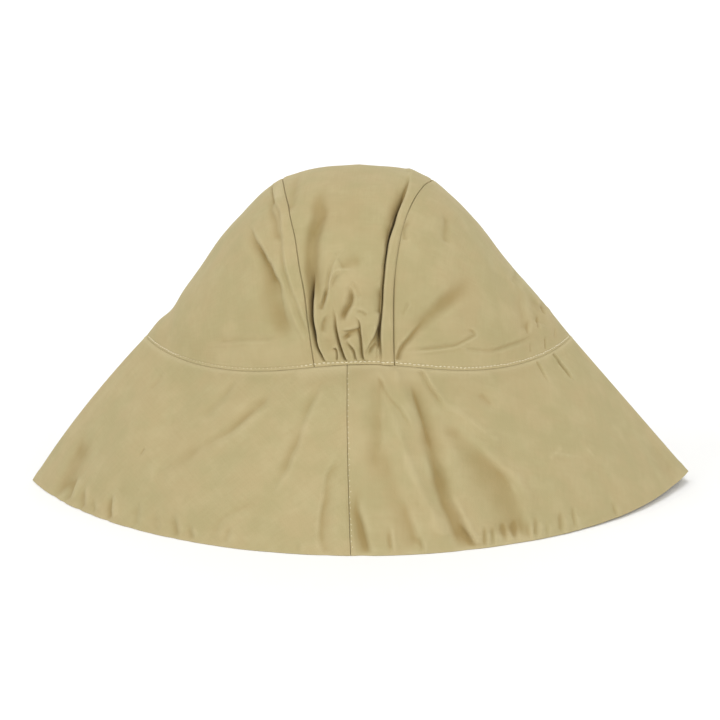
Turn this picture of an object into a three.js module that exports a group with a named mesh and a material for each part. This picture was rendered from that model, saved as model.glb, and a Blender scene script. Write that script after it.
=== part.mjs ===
// A soft cloth rain hat, standing on its brim.
//
// +Z is up, +Y is the wearer's front and -Y the back. The origin is on the floor, in the middle of the hat.
// The crown is three panels: one runs from the back over the top to the front, and is gathered where it meets
// the brim at the back, and one covers each side. The seam allowances of the two long seams lie to the wearer's
// left, so each raises a narrow band of cloth beside its seam. The brim is a cloth and a facing, each in one
// piece with its ends sewn together at the centre back.
//
// Lengths are in millimetres and angles in degrees. A turn is an angle about +Z, from the back centre towards
// the right. An arch angle is taken about the X axis, from the back of the brim seam over the top to the front.

import * as THREE from "three";

// ---------------------------------------------------------------- driving dimensions

const PIECE_GAP = 0.3; // between two pieces that are sewn to each other
const BRIM_SEAM_GAP = 0.5; // the crown's and the brim's facets differ along their seam, which takes up some of it

const RIM = {
  halfWidthLeft: 168,
  halfWidthRight: 170,
  halfDepth: 141,
  arcWidth: 1.16, // the front and the back are arcs of an ellipse this much wider, so they meet in a corner
  rightTipLift: 4.6, // the right side's corner curls up off the floor
};

const BRIM_SEAM = {
  halfWidth: 108,
  halfDepth: 82,
  point: 1.5, // 1 is an ellipse; more draws the sides out into soft points
  height: 68.5,
  sideRise: 7.2, // the seam runs up towards the two side points
};

// The gathers at the back draw the brim seam in and up.
const GATHER = { centre: 2, spread: 43, pullIn: 6.5, pullUp: 6.7, fadeArch: 75 };

const CROWN_HEIGHT = 94; // above the brim seam
const CROWN_WALL = 1.6;
const CROWN_REACH = 84; // mean distance of the crown's wall from its centre

// A layer of the brim and the gap to the next one, measured level. Both grow by pointStretch at the side points,
// where the oval runs askew.
const BRIM_LAYER = { thickness: 1.5, gap: 1.4 * PIECE_GAP, pointStretch: 1.6 };
const BRIM_BULGE = 3; // how far the brim's slope stands out from straight, half way down
const BRIM_JOIN = { atSeam: -2.3, atRim: -1 }; // turns of the seam that closes the brim at the back

const SEAM_BAND = { width: 6, raise: 0.9, slope: 1.2 }; // the cloth that a seam allowance lifts
const PUFF = { arch: 19, spread: 15, height: 4.5 }; // the centre panel stands out over the gathers

// The crown's outline from behind: how high its arches are, as a share of the crown's height.
const CROWN_OUTLINE = [
  { share: 0, left: 1, right: 1 },
  { share: 0.12, left: 0.993, right: 0.993 },
  { share: 0.22, left: 0.976, right: 0.979 },
  { share: 0.33, left: 0.937, right: 0.931 },
  { share: 0.435, left: 0.862, right: 0.838 },
  { share: 0.55, left: 0.73, right: 0.702 },
  { share: 0.66, left: 0.578, right: 0.534 },
  { share: 0.76, left: 0.401, right: 0.382 },
  { share: 0.82, left: 0.297, right: 0.299 },
  { share: 0.88, left: 0.177, right: 0.208 },
  { share: 0.94, left: 0.105, right: 0.105 },
  { share: 1, left: 0, right: 0 },
];

// Where the two long seams run: their X at each arch angle.
const LONG_SEAMS = [
  { arch: 0, left: -21, right: 17 },
  { arch: 14, left: -23.6, right: 17 },
  { arch: 27, left: -26.1, right: 17.5 },
  { arch: 44, left: -30.4, right: 20.6 },
  { arch: 58, left: -34, right: 25.8 },
  { arch: 70, left: -36.4, right: 31.4 },
  { arch: 90, left: -38, right: 37 },
  { arch: 135, left: -37, right: 36 },
  { arch: 180, left: -33, right: 33 },
];

// Valleys of the gathers, from the brim seam up to where each one ends.
const GATHER_FOLDS = [
  { name: "outer_left", footX: -15.6, headX: -21.6, reach: 25, width: 2.6, depth: 4.2 },
  { name: "short_left", footX: -9.6, headX: -10, reach: 8, width: 1.7, depth: 1.6 },
  { name: "long_middle", footX: -5.4, headX: -11, reach: 18, width: 2, depth: 3 },
  { name: "short_middle", footX: -1.1, headX: -2, reach: 9, width: 1.6, depth: 1.8 },
  { name: "long_right", footX: 2.9, headX: 0.6, reach: 16, width: 1.9, depth: 2.8 },
  { name: "short_right", footX: 7.2, headX: 9.4, reach: 9, width: 1.7, depth: 1.8 },
  { name: "under_band", footX: 10.6, headX: 11.4, reach: 46, width: 2.8, depth: 4.4 },
];

// Soft dents of the side panels. Each runs straight from its foot to its head.
const SIDE_DENTS = [
  { name: "left_back", foot: [-33, 14], head: [-51, 46], width: 8, depth: 2 },
  { name: "right_back", foot: [20, 1], head: [55, 32], width: 6, depth: 2.4 },
  { name: "right_low", foot: [27, 6], head: [84, 24], width: 6, depth: 1.2 },
  { name: "left_front", foot: [-40, 165], head: [-62, 128], width: 10, depth: 1.6 },
  { name: "right_front", foot: [40, 164], head: [66, 126], width: 10, depth: 1.6 },
];

// Folds of the brim that run from the seam to the rim. A negative depth stands out.
const BRIM_FOLDS = [
  { name: "left_far", seamTurn: -44, rimTurn: -53, width: 9, depth: 2.2 },
  { name: "left_near", seamTurn: -20, rimTurn: -29, width: 8, depth: 2.4 },
  { name: "left_ridge", seamTurn: -9, rimTurn: -12, width: 6, depth: -1.6 },
  { name: "beside_join", seamTurn: 2, rimTurn: 4, width: 4.5, depth: 2.6 },
  { name: "right_near", seamTurn: 11, rimTurn: 17, width: 5, depth: 2.6 },
  { name: "right_ridge", seamTurn: 15, rimTurn: 22, width: 4, depth: -1.6 },
  { name: "right_mid", seamTurn: 21, rimTurn: 31, width: 6, depth: 3 },
  { name: "right_far", seamTurn: 48, rimTurn: 55, width: 9, depth: 1.6 },
  { name: "front_right", seamTurn: 128, rimTurn: 124, width: 13, depth: 2.4 },
  { name: "front_middle", seamTurn: 172, rimTurn: 168, width: 14, depth: -2 },
  { name: "front_left", seamTurn: -140, rimTurn: -134, width: 14, depth: 2.6 },
];

const ARCH_STATIONS = { gathered: 12, gatheredTo: 36, rest: 19 }; // rows of the crown's grids
const CENTRE_COLUMNS = 24;
const SIDE_COLUMNS = 11;
const BRIM_COLUMNS_PER_QUARTER = 20;
const BRIM_ROWS = 6;
const FACING_ROWS = 3;

const CLOTH = new THREE.MeshStandardMaterial({ color: 0xbdaf84, roughness: 0.9, metalness: 0 });
const FACING_CLOTH = new THREE.MeshStandardMaterial({ color: 0xb3a57b, roughness: 0.92, metalness: 0 });

// ---------------------------------------------------------------- small helpers

const { lerp, clamp, degToRad } = THREE.MathUtils;
const bell = (t) => Math.exp(-t * t);
const fadeOut = (t) => 1 - THREE.MathUtils.smoothstep(t, 0, 1);

// A smooth curve through one column of a table, which never swings past its rows.
function throughRows(rows, key, column, at) {
  const last = rows.length - 1;
  const step = (i) => (rows[i + 1][column] - rows[i][column]) / (rows[i + 1][key] - rows[i][key]);
  const slope = (i) => {
    if (i === 0 || i === last) return step(Math.min(i, last - 1));
    const [before, after] = [step(i - 1), step(i)];
    return before * after > 0 ? (2 * before * after) / (before + after) : 0;
  };
  let i = 0;
  while (i < last - 1 && at > rows[i + 1][key]) i++;
  const span = rows[i + 1][key] - rows[i][key];
  const t = clamp((at - rows[i][key]) / span, 0, 1);
  const [t2, t3] = [t * t, t * t * t];
  return (
    rows[i][column] * (2 * t3 - 3 * t2 + 1) +
    slope(i) * span * (t3 - 2 * t2 + t) +
    rows[i + 1][column] * (3 * t2 - 2 * t3) +
    slope(i + 1) * span * (t3 - t2)
  );
}

// A closed wall between two sheets of points, each a grid of the same size. Seen from the near sheet's side,
// rows follow each other upwards and columns to the right. A sheet's last column may be one point throughout.
function wallGeometry(near, far) {
  const [rows, columns] = [near.length, near[0].length];
  const positions = [];
  const indices = [];
  const pole = near[0][columns - 1].distanceTo(near[rows - 1][columns - 1]) < 1e-6;

  const numberSheet = (sheet) => {
    const poleIndex = pole ? positions.push(sheet[0][columns - 1]) - 1 : -1;
    return sheet.map((row) =>
      row.map((point, j) => (pole && j === columns - 1 ? poleIndex : positions.push(point) - 1)),
    );
  };
  const triangle = (a, b, c) => {
    if (a !== b && b !== c && c !== a) indices.push(a, b, c);
  };
  const quad = (a, b, c, d) => {
    triangle(a, b, c);
    triangle(a, c, d);
  };

  const n = numberSheet(near);
  const f = numberSheet(far);
  const [top, right] = [rows - 1, columns - 1];
  for (let i = 0; i < top; i++)
    for (let j = 0; j < right; j++) {
      quad(n[i][j], n[i][j + 1], n[i + 1][j + 1], n[i + 1][j]);
      quad(f[i][j], f[i + 1][j], f[i + 1][j + 1], f[i][j + 1]);
    }
  for (let j = 0; j < right; j++) {
    quad(n[0][j], f[0][j], f[0][j + 1], n[0][j + 1]);
    quad(n[top][j], n[top][j + 1], f[top][j + 1], f[top][j]);
  }
  for (let i = 0; i < top; i++) {
    quad(n[i][0], n[i + 1][0], f[i + 1][0], f[i][0]);
    if (!pole) quad(n[i][right], f[i][right], f[i + 1][right], n[i + 1][right]);
  }
  return new THREE.BufferGeometry().setFromPoints(positions).setIndex(indices);
}

// ---------------------------------------------------------------- the brim seam and the rim

const gatherShare = (x) => bell((x - GATHER.centre) / GATHER.spread);

const seamHeight = (x) => BRIM_SEAM.height + BRIM_SEAM.sideRise * Math.abs(x / BRIM_SEAM.halfWidth) ** 6;

// A point of the pointed oval that the crown and the brim meet in, at a turn in degrees.
function brimSeamPoint(turn, inset) {
  const [side, back] = [Math.sin(degToRad(turn)), Math.cos(degToRad(turn))];
  const depth = (BRIM_SEAM.halfDepth - inset.back) * Math.abs(back) ** BRIM_SEAM.point;
  const p = new THREE.Vector3((BRIM_SEAM.halfWidth - inset.side) * side, -Math.sign(back) * depth, 0);
  const drawn = p.y < 0 ? gatherShare(p.x) : 0;
  p.y += GATHER.pullIn * drawn;
  p.z = seamHeight(p.x) + GATHER.pullUp * drawn;
  return p;
}

// A point of the rim, which is two arcs that meet in a corner at each side.
function rimPoint(turn, inset) {
  const [side, back] = [Math.sin(degToRad(turn)), Math.cos(degToRad(turn))];
  const halfWidth = (side < 0 ? RIM.halfWidthLeft : RIM.halfWidthRight) - inset.side;
  const arc = (share) => Math.sqrt(1 - (share / RIM.arcWidth) ** 2);
  const depth = ((RIM.halfDepth - inset.back) * (arc(side) - arc(1))) / (1 - arc(1));
  const lift = side > 0 ? RIM.rightTipLift * side ** 5 : 0;
  return new THREE.Vector3(halfWidth * side, -Math.sign(back) * depth, lift);
}

// ---------------------------------------------------------------- the brim

// How far the brim stands out, level, at a turn and a share of the way from the seam to the rim.
function brimOffset(turn, down) {
  const folds = BRIM_FOLDS.map(({ seamTurn, rimTurn, width, depth }) => {
    const away = THREE.MathUtils.euclideanModulo(turn - lerp(seamTurn, rimTurn, down) + 180, 360) - 180;
    return -depth * bell(away / width) * down ** 0.6;
  });
  const bulge = BRIM_BULGE * (1 - Math.max(0, Math.sin(degToRad(turn))) ** 4); // the right side falls straight
  return 4 * bulge * down * (1 - down) + folds.reduce((sum, fold) => sum + fold, 0);
}

// Every turn that has a column, with one at each side point, at the front and at both ends of the join.
function brimTurns(join, halfGap) {
  const corners = [join + halfGap, 90, 180, 270, 360 + join - halfGap];
  const turns = [];
  for (let c = 0; c < 4; c++)
    for (let i = c ? 1 : 0; i <= BRIM_COLUMNS_PER_QUARTER; i++)
      turns.push(lerp(corners[c], corners[c + 1], i / BRIM_COLUMNS_PER_QUARTER));
  return turns;
}

// One sheet of the brim, inset from its outer surface. It runs from the seam down to the rim.
function brimSheet(rows, inset) {
  const sheet = [];
  for (let i = 0; i <= rows; i++) {
    const down = i / rows;
    const radius = lerp(BRIM_SEAM.halfDepth, RIM.halfDepth, down);
    const halfGap = THREE.MathUtils.radToDeg(PIECE_GAP / 2 / radius);
    sheet.push(
      brimTurns(lerp(BRIM_JOIN.atSeam, BRIM_JOIN.atRim, down), halfGap).map((turn) => {
        const top = brimSeamPoint(turn, inset);
        top.z -= BRIM_SEAM_GAP / 2;
        const p = top.lerp(rimPoint(turn, inset), down);
        const offset = brimOffset(turn, down);
        p.x += offset * Math.sin(degToRad(turn));
        p.y -= offset * Math.cos(degToRad(turn));
        return p;
      }),
    );
  }
  return sheet;
}

// A layer of the brim, with a number of layers outside it.
function brimLayer(rows, layersOutside) {
  const { thickness, gap, pointStretch } = BRIM_LAYER;
  const inset = (level) => ({ back: level, side: level * pointStretch });
  const level = layersOutside * (thickness + gap);
  const outer = brimSheet(rows, inset(level));
  const inner = brimSheet(rows, inset(level + thickness));
  return wallGeometry(inner, outer); // its rows go down, so the inner sheet is the near one
}

// ---------------------------------------------------------------- the crown

const longSeam = (arch, side) => throughRows(LONG_SEAMS, "arch", side, arch);

// The crown's plain form, at an X and an arch angle.
function crownForm(x, arch) {
  const share = Math.min(1, Math.abs(x) / BRIM_SEAM.halfWidth);
  const depth = BRIM_SEAM.halfDepth * (1 - share * share) ** (BRIM_SEAM.point / 2);
  const height = CROWN_HEIGHT * throughRows(CROWN_OUTLINE, "share", x < 0 ? "left" : "right", share);
  const drawn = gatherShare(x) * fadeOut(arch / GATHER.fadeArch);
  return new THREE.Vector3(
    x,
    -depth * Math.cos(degToRad(arch)) + GATHER.pullIn * drawn,
    seamHeight(x) + height * Math.sin(degToRad(arch)) + GATHER.pullUp * drawn,
  );
}

// How far a seam allowance lifts the cloth, at a distance from its seam.
function bandLift(distance) {
  const { width, raise, slope } = SEAM_BAND;
  return distance < 0 ? 0 : raise * fadeOut((distance - width + slope) / slope);
}

function centrePanelLift(x, arch) {
  const [left, right] = [longSeam(arch, "left"), longSeam(arch, "right")];
  const across = clamp((x - left) / (right - left), 0, 1);
  const puff = PUFF.height * bell((arch - PUFF.arch) / PUFF.spread) * Math.sin(Math.PI * across);
  const folds = GATHER_FOLDS.map(({ footX, headX, reach, width, depth }) => {
    const line = lerp(footX, headX, clamp(arch / reach, 0, 1));
    const along = Math.min(1, 0.35 + arch / 6) * fadeOut((arch / reach - 0.55) / 0.45);
    return -depth * bell((x - line) / width) * along;
  });
  return puff + folds.reduce((sum, fold) => sum + fold, 0) + bandLift(right - x);
}

function sidePanelLift(x, arch) {
  const dents = SIDE_DENTS.map(({ foot, head, width, depth }) => {
    const [footPoint, headPoint] = [crownForm(...foot), crownForm(...head)];
    const line = headPoint.clone().sub(footPoint);
    const along = clamp(crownForm(x, arch).sub(footPoint).dot(line) / line.lengthSq(), 0, 1);
    const distance = crownForm(x, arch).distanceTo(footPoint.addScaledVector(line, along));
    return -depth * bell(distance / width) * Math.min(1, arch / 5, (180 - arch) / 5);
  });
  const band = x < 0 ? bandLift(longSeam(arch, "left") - x) : 0;
  return dents.reduce((sum, dent) => sum + dent, 0) + band;
}

// The outer and inner sheets of a crown panel. columnX(arch) lists the X of each column.
function crownSheets(columnX, lift) {
  const centre = new THREE.Vector3(0, 0, BRIM_SEAM.height);
  const { gathered, gatheredTo, rest } = ARCH_STATIONS;
  const sheets = [[], []];
  for (let i = 0; i <= gathered + rest; i++) {
    const arch = i < gathered ? (gatheredTo * i) / gathered : lerp(gatheredTo, 180, (i - gathered) / rest);
    const outer = columnX(arch).map((x) => {
      const p = crownForm(x, arch);
      const away = p.clone().sub(centre).normalize();
      p.addScaledVector(away, lift(x, arch));
      p.z += BRIM_SEAM_GAP / 2;
      return p;
    });
    const inner = outer.map((p) => p.clone().sub(centre).multiplyScalar(1 - CROWN_WALL / CROWN_REACH).add(centre));
    sheets[0].push(outer);
    sheets[1].push(inner);
  }
  return sheets;
}

function centrePanel() {
  const columnX = (arch) => {
    const [left, right] = [longSeam(arch, "left") + PIECE_GAP / 2, longSeam(arch, "right") - PIECE_GAP / 2];
    return Array.from({ length: CENTRE_COLUMNS + 1 }, (_, j) => lerp(left, right, j / CENTRE_COLUMNS));
  };
  return wallGeometry(...crownSheets(columnX, centrePanelLift));
}

function sidePanel(side) {
  const sign = side === "left" ? -1 : 1;
  const columnX = (arch) => {
    const edgeTurn = Math.asin((longSeam(arch, side) + (sign * PIECE_GAP) / 2) / BRIM_SEAM.halfWidth);
    return Array.from(
      { length: SIDE_COLUMNS + 1 },
      (_, j) => BRIM_SEAM.halfWidth * Math.sin(lerp(edgeTurn, (sign * Math.PI) / 2, j / SIDE_COLUMNS)),
    );
  };
  const [outer, inner] = crownSheets(columnX, sidePanelLift);
  return side === "left" ? wallGeometry(inner, outer) : wallGeometry(outer, inner);
}

// ---------------------------------------------------------------- the hat

const hat = new THREE.Group();

function addPiece(name, geometry, material) {
  const mesh = new THREE.Mesh(geometry, material);
  mesh.name = name;
  hat.add(mesh);
}

addPiece("crown_centre_panel", centrePanel(), CLOTH);
addPiece("crown_side_left", sidePanel("left"), CLOTH);
addPiece("crown_side_right", sidePanel("right"), CLOTH);
addPiece("brim_cloth", brimLayer(BRIM_ROWS, 0), CLOTH);
addPiece("brim_facing", brimLayer(FACING_ROWS, 1), FACING_CLOTH);

const box = new THREE.Box3().setFromObject(hat);
hat.position.x = -(box.min.x + box.max.x) / 2;
hat.position.y = -(box.min.y + box.max.y) / 2;

export default hat;
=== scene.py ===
"""A soft cloth rain hat that stands on its brim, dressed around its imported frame.

Lengths are in millimetres and angles in degrees, unless a name says otherwise. The form's own origin is on
the floor under the middle of the crown, with +Z up, +Y to the wearer's front and -Y to the back. A mesh is
turned into metres, and set on the frame's origin, only when it is made.

A turn goes about +Z, from the back centre towards the right. An arch goes about X, from the back of the
brim seam over the top to the front. Down is the share of the way from the brim seam to the rim.
"""

import logging
import math
from collections.abc import Callable, Sequence
from dataclasses import dataclass, field, replace
from enum import Enum

import bmesh
import bpy
import numpy as np
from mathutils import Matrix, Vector


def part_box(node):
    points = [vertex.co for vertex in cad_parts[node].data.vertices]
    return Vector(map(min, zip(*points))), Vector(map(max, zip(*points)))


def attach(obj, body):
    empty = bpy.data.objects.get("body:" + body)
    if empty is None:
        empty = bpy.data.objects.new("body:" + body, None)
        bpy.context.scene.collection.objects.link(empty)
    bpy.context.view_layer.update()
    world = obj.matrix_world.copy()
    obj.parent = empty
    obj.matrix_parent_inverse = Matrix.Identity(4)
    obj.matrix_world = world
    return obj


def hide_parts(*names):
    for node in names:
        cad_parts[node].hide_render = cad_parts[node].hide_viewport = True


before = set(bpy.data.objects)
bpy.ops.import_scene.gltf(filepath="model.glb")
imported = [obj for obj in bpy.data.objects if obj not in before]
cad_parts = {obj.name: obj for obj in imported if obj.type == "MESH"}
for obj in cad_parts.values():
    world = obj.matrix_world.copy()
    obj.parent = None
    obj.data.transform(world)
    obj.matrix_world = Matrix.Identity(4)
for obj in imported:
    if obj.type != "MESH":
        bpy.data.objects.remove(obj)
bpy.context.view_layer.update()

LOG = logging.getLogger("rain_hat")
MM = 0.001
BODY = "root"
MERGE_DISTANCE = 1e-7
STATION_STEPS = 4001

Array = np.ndarray
Surface = Callable[[Array, Array], Array]


class Side(Enum):
    """A side of the hat, seen from behind."""

    LEFT = -1
    RIGHT = 1


# ---------------------------------------------------------------- curves and noise


def bell(t: Array) -> Array:
    """A bell curve that is 1 at 0 and has all but gone at 2."""
    return np.exp(-np.square(t))


def ease(t: Array) -> Array:
    """A soft step from 0 at 0 to 1 at 1."""
    t = np.clip(t, 0.0, 1.0)
    return t * t * (3.0 - 2.0 * t)


def rounded_off(t: Array) -> Array:
    """How far a round edge has fallen away: 0 at 0, and 1 at 1, where the edge ends."""
    return 1.0 - np.sqrt(1.0 - np.square(np.clip(t, 0.0, 1.0)))


def unit(v: Array) -> Array:
    """Vectors scaled to length 1; one with no length stays as it is."""
    return v / np.maximum(np.linalg.norm(v, axis=-1, keepdims=True), 1e-9)


def dot(a: Array, b: Array) -> Array:
    """The dot products of vectors."""
    return np.einsum("...k,...k->...", a, b)


def through_rows(rows: Sequence[Sequence[float]], column: int, at: Array) -> Array:
    """A smooth curve through one column of a table, which never swings past its rows.

    Args:
        rows: the table, with its key in the first column, in rising order.
        column: the column that the curve passes through.
        at: the keys to read it at.

    Returns:
        The curve's values.
    """
    keys = np.array([row[0] for row in rows], float)
    values = np.array([row[column] for row in rows], float)
    steps = np.diff(values) / np.diff(keys)
    before, after = steps[:-1], steps[1:]
    same_way = before * after > 0
    total = np.where(same_way, before + after, 1.0)
    slopes = np.concatenate([steps[:1], np.where(same_way, 2 * before * after / total, 0.0), steps[-1:]])
    i = np.clip(np.searchsorted(keys, at, side="right") - 1, 0, len(keys) - 2)
    span = keys[i + 1] - keys[i]
    t = np.clip((at - keys[i]) / span, 0.0, 1.0)
    t2, t3 = t * t, t * t * t
    return (
        values[i] * (2 * t3 - 3 * t2 + 1)
        + slopes[i] * span * (t3 - 2 * t2 + t)
        + values[i + 1] * (3 * t2 - 2 * t3)
        + slopes[i + 1] * span * (t3 - t2)
    )


@dataclass(frozen=True)
class Crowd:
    """A place where a grid's lines lie closer together: by a bell curve, or evenly up to a width."""

    extra: float
    width: float
    at: float = 0.0
    even: bool = False

    def density(self, place: Array) -> Array:
        """How many lines are added at a place to each one that would be there anyway."""
        away = (place - self.at) / self.width
        return self.extra * (np.abs(away) < 1.0 if self.even else bell(away))


def stations(
    low: float, high: float, count: int, crowds: Sequence[Crowd], both_ends: bool = False
) -> Array:
    """Places along a line, closer together where they are needed.

    Args:
        low: the first place.
        high: the last place.
        count: how many places there are.
        crowds: where they lie closer together.
        both_ends: whether the crowds count from the nearer end.

    Returns:
        The places, in rising order.
    """
    fine = np.linspace(low, high, STATION_STEPS)
    weight = np.ones_like(fine)
    for crowd in crowds:
        weight = weight + crowd.density(np.minimum(fine, low + high - fine) if both_ends else fine)
    total = np.concatenate([[0.0], np.cumsum((weight[1:] + weight[:-1]) / 2)])
    return np.interp(np.linspace(0.0, total[-1], count), total, fine)


@dataclass(frozen=True)
class Crumple:
    """Soft random waves through space, the same at every run."""

    seed: int
    size: float
    lattice: int = 24
    creased: bool = False
    crease_softness: float = 0.001

    def at(self, points: Array) -> Array:
        """Heights from about -1 to 1, or with a crease along every zero if the waves are creased.

        Args:
            points: places in space, in the last axis.

        Returns:
            One height for each place.
        """
        table = np.random.default_rng(self.seed).uniform(-1.0, 1.0, (self.lattice,) * 3)
        cell = np.floor(points / self.size).astype(int)
        share = ease(points / self.size - cell)
        height = np.zeros(points.shape[:-1])
        for corner in np.ndindex(2, 2, 2):
            index = (cell + corner) % self.lattice
            weight = np.prod(np.where(np.array(corner) == 1, share, 1.0 - share), axis=-1)
            height += weight * table[index[..., 0], index[..., 1], index[..., 2]]
        return np.sqrt(height * height + self.crease_softness) * 2.0 - 0.5 if self.creased else height


# ---------------------------------------------------------------- the hat's plain form


@dataclass(frozen=True)
class HatForm:
    """The hat's form without folds: a pointed oval brim under a crown of arches."""

    centre: tuple[float, float]
    rim_half_width: dict[Side, float]
    seam_half_width: float
    seam_height: float
    crown_height: float
    rim_half_depth: float = 141.0
    rim_arc_width: float = 1.16
    right_tip_lift: float = 4.6
    tip_lift_power: int = 5
    seam_half_depth: float = 82.0
    seam_point: float = 1.5
    seam_side_rise: float = 7.2
    seam_rise_power: int = 6
    gather_centre: float = 2.0
    gather_spread: float = 43.0
    gather_in: float = 6.5
    gather_up: float = 6.7
    gather_fade_arch: float = 75.0
    brim_slant: float = 92.0
    brim_bulge: float = 3.0
    bulge_fade_power: int = 4
    seam_stand_off: float = 0.25
    half_gap: float = 0.04
    # The crown's outline from behind: share of the half width, and the arch's height on the left and right.
    outline: tuple[tuple[float, float, float], ...] = (
        (0.0, 1.0, 1.0),
        (0.12, 0.993, 0.993),
        (0.22, 0.976, 0.979),
        (0.33, 0.937, 0.931),
        (0.435, 0.862, 0.838),
        (0.55, 0.73, 0.702),
        (0.66, 0.578, 0.534),
        (0.76, 0.401, 0.382),
        (0.82, 0.297, 0.299),
        (0.88, 0.177, 0.208),
        (0.94, 0.105, 0.105),
        (1.0, 0.0, 0.0),
    )
    # Where the long seams run: arch, and the X of the left and the right seam.
    long_seams: tuple[tuple[float, float, float], ...] = (
        (0.0, -20.9, 17.1),
        (8.0, -22.7, 16.7),
        (15.0, -24.3, 16.7),
        (23.0, -25.8, 16.9),
        (31.0, -27.7, 17.8),
        (43.0, -30.1, 20.3),
        (52.0, -32.3, 23.2),
        (62.0, -34.4, 27.2),
        (72.0, -36.3, 31.4),
        (90.0, -38.0, 37.0),
        (135.0, -37.0, 36.0),
        (180.0, -33.0, 33.0),
    )

    @classmethod
    def from_frame(cls) -> "HatForm":
        """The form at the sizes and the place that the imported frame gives.

        Returns:
            The form.
        """
        left, right, top, brim = (
            [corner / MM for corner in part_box(name)]
            for name in ("crown_side_left", "crown_side_right", "crown_centre_panel", "brim_cloth")
        )
        centre_x = (left[0].x + right[1].x) / 2
        seam_height = left[0].z - cls.seam_stand_off
        return cls(
            centre=(centre_x, top[1].y - cls.seam_half_depth),
            rim_half_width={Side.LEFT: centre_x - brim[0].x, Side.RIGHT: brim[1].x - centre_x},
            seam_half_width=(right[1].x - left[0].x) / 2,
            seam_height=seam_height,
            crown_height=top[1].z - cls.seam_stand_off - seam_height,
        )

    def gathered(self, x: Array) -> Array:
        """How much of the gathers' pull reaches an X, from 0 to 1."""
        return bell((x - self.gather_centre) / self.gather_spread)

    def seam_rise(self, x: Array) -> Array:
        """The brim seam's height over the floor at an X, without the gathers' pull."""
        rise = np.abs(x / self.seam_half_width) ** self.seam_rise_power
        return self.seam_height + self.seam_side_rise * rise

    def arch_height(self, x: Array) -> Array:
        """The height of the crown's arch over the brim seam at an X.

        Args:
            x: distance to the right of the middle.

        Returns:
            The height.
        """
        share = np.clip(np.abs(x) / self.seam_half_width, 0.0, 1.0)
        left, right = (through_rows(self.outline, column, share) for column in (1, 2))
        return self.crown_height * np.where(x < 0, left, right)

    def arch_radius(self, x: Array) -> Array:
        """The radius that turns an arch angle into a length along the cloth."""
        return np.maximum(self.arch_height(x), 1.0)

    def crown(self, x: Array, arch: Array) -> Array:
        """Points of the crown.

        Args:
            x: distance to the right of the middle.
            arch: angle over the top, from the back.

        Returns:
            The points, in the last axis.
        """
        share = np.clip(np.abs(x) / self.seam_half_width, 0.0, 1.0)
        depth = self.seam_half_depth * (1.0 - share * share) ** (self.seam_point / 2)
        angle = np.radians(arch)
        pull = self.gathered(x) * (1.0 - ease(arch / self.gather_fade_arch))
        y = -depth * np.cos(angle) + self.gather_in * pull
        z = self.seam_rise(x) + self.half_gap + self.arch_height(x) * np.sin(angle) + self.gather_up * pull
        return np.stack([x, y, z], axis=-1)

    def brim(self, turn: Array, down: Array) -> Array:
        """Points of the brim.

        Args:
            turn: angle round the hat, from the back centre to the right.
            down: share of the way from the brim seam to the rim.

        Returns:
            The points, in the last axis.
        """
        side, back = np.sin(np.radians(turn)), np.cos(np.radians(turn))
        bend = np.sign(back)
        top_x = self.seam_half_width * side
        pull = np.where(back > 0, self.gathered(top_x), 0.0)
        top_y = -self.seam_half_depth * bend * np.abs(back) ** self.seam_point + self.gather_in * pull
        top_z = self.seam_rise(top_x) - self.half_gap + self.gather_up * pull
        half_width = np.where(side < 0, self.rim_half_width[Side.LEFT], self.rim_half_width[Side.RIGHT])
        arc, corner = (np.sqrt(1.0 - (share / self.rim_arc_width) ** 2) for share in (side, 1.0))
        rim_y = -self.rim_half_depth * bend * (arc - corner) / (1.0 - corner)
        rim_z = np.where(side > 0, self.right_tip_lift, 0.0) * np.abs(side) ** self.tip_lift_power
        straight = np.maximum(side, 0.0) ** self.bulge_fade_power
        bulge = 4.0 * self.brim_bulge * down * (1.0 - down) * (1.0 - straight)
        return np.stack(
            [
                top_x + (half_width * side - top_x) * down + bulge * side,
                top_y + (rim_y - top_y) * down - bulge * back,
                top_z + (rim_z - top_z) * down,
            ],
            axis=-1,
        )

    def long_seam(self, side: Side, arch: Array) -> Array:
        """The X of a long seam at an arch angle."""
        return through_rows(self.long_seams, 1 if side is Side.LEFT else 2, arch)

    def place(self, points: Array) -> Array:
        """Points of the form, moved to the frame's origin and in metres."""
        return (points + np.array([*self.centre, 0.0])) * MM


def normals_of(surface: Surface, a: Array, b: Array, step: float = 0.02) -> Array:
    """Outward normals of a surface whose first parameter runs right and whose second runs up.

    Args:
        surface: gives the points at two parameters.
        a: the first parameter.
        b: the second parameter.
        step: how far apart the surface is read.

    Returns:
        One unit vector for each point.
    """
    right = surface(a + step, b) - surface(a - step, b)
    up = surface(a, b + step) - surface(a, b - step)
    return unit(np.cross(right, up))


# ---------------------------------------------------------------- folds


# Every fold is a little uneven in depth and wanders a little from its route.
UNEVEN = Crumple(seed=29, size=13.0)
WANDERING = Crumple(seed=31, size=8.0)
FOLD_UNEVENNESS = 0.36
FOLD_WANDER = 0.9
FULL_WANDER_WIDTH = 4.0
# How far a fold is followed past its widths and past the ends of its route, and where its crest stands.
BELL_REACH = 2.4
CREST_REACH = 2.0
CREST_SHIFT = 0.4
REACH_SPARE = 1.0
OVERRUN = 0.02


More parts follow.
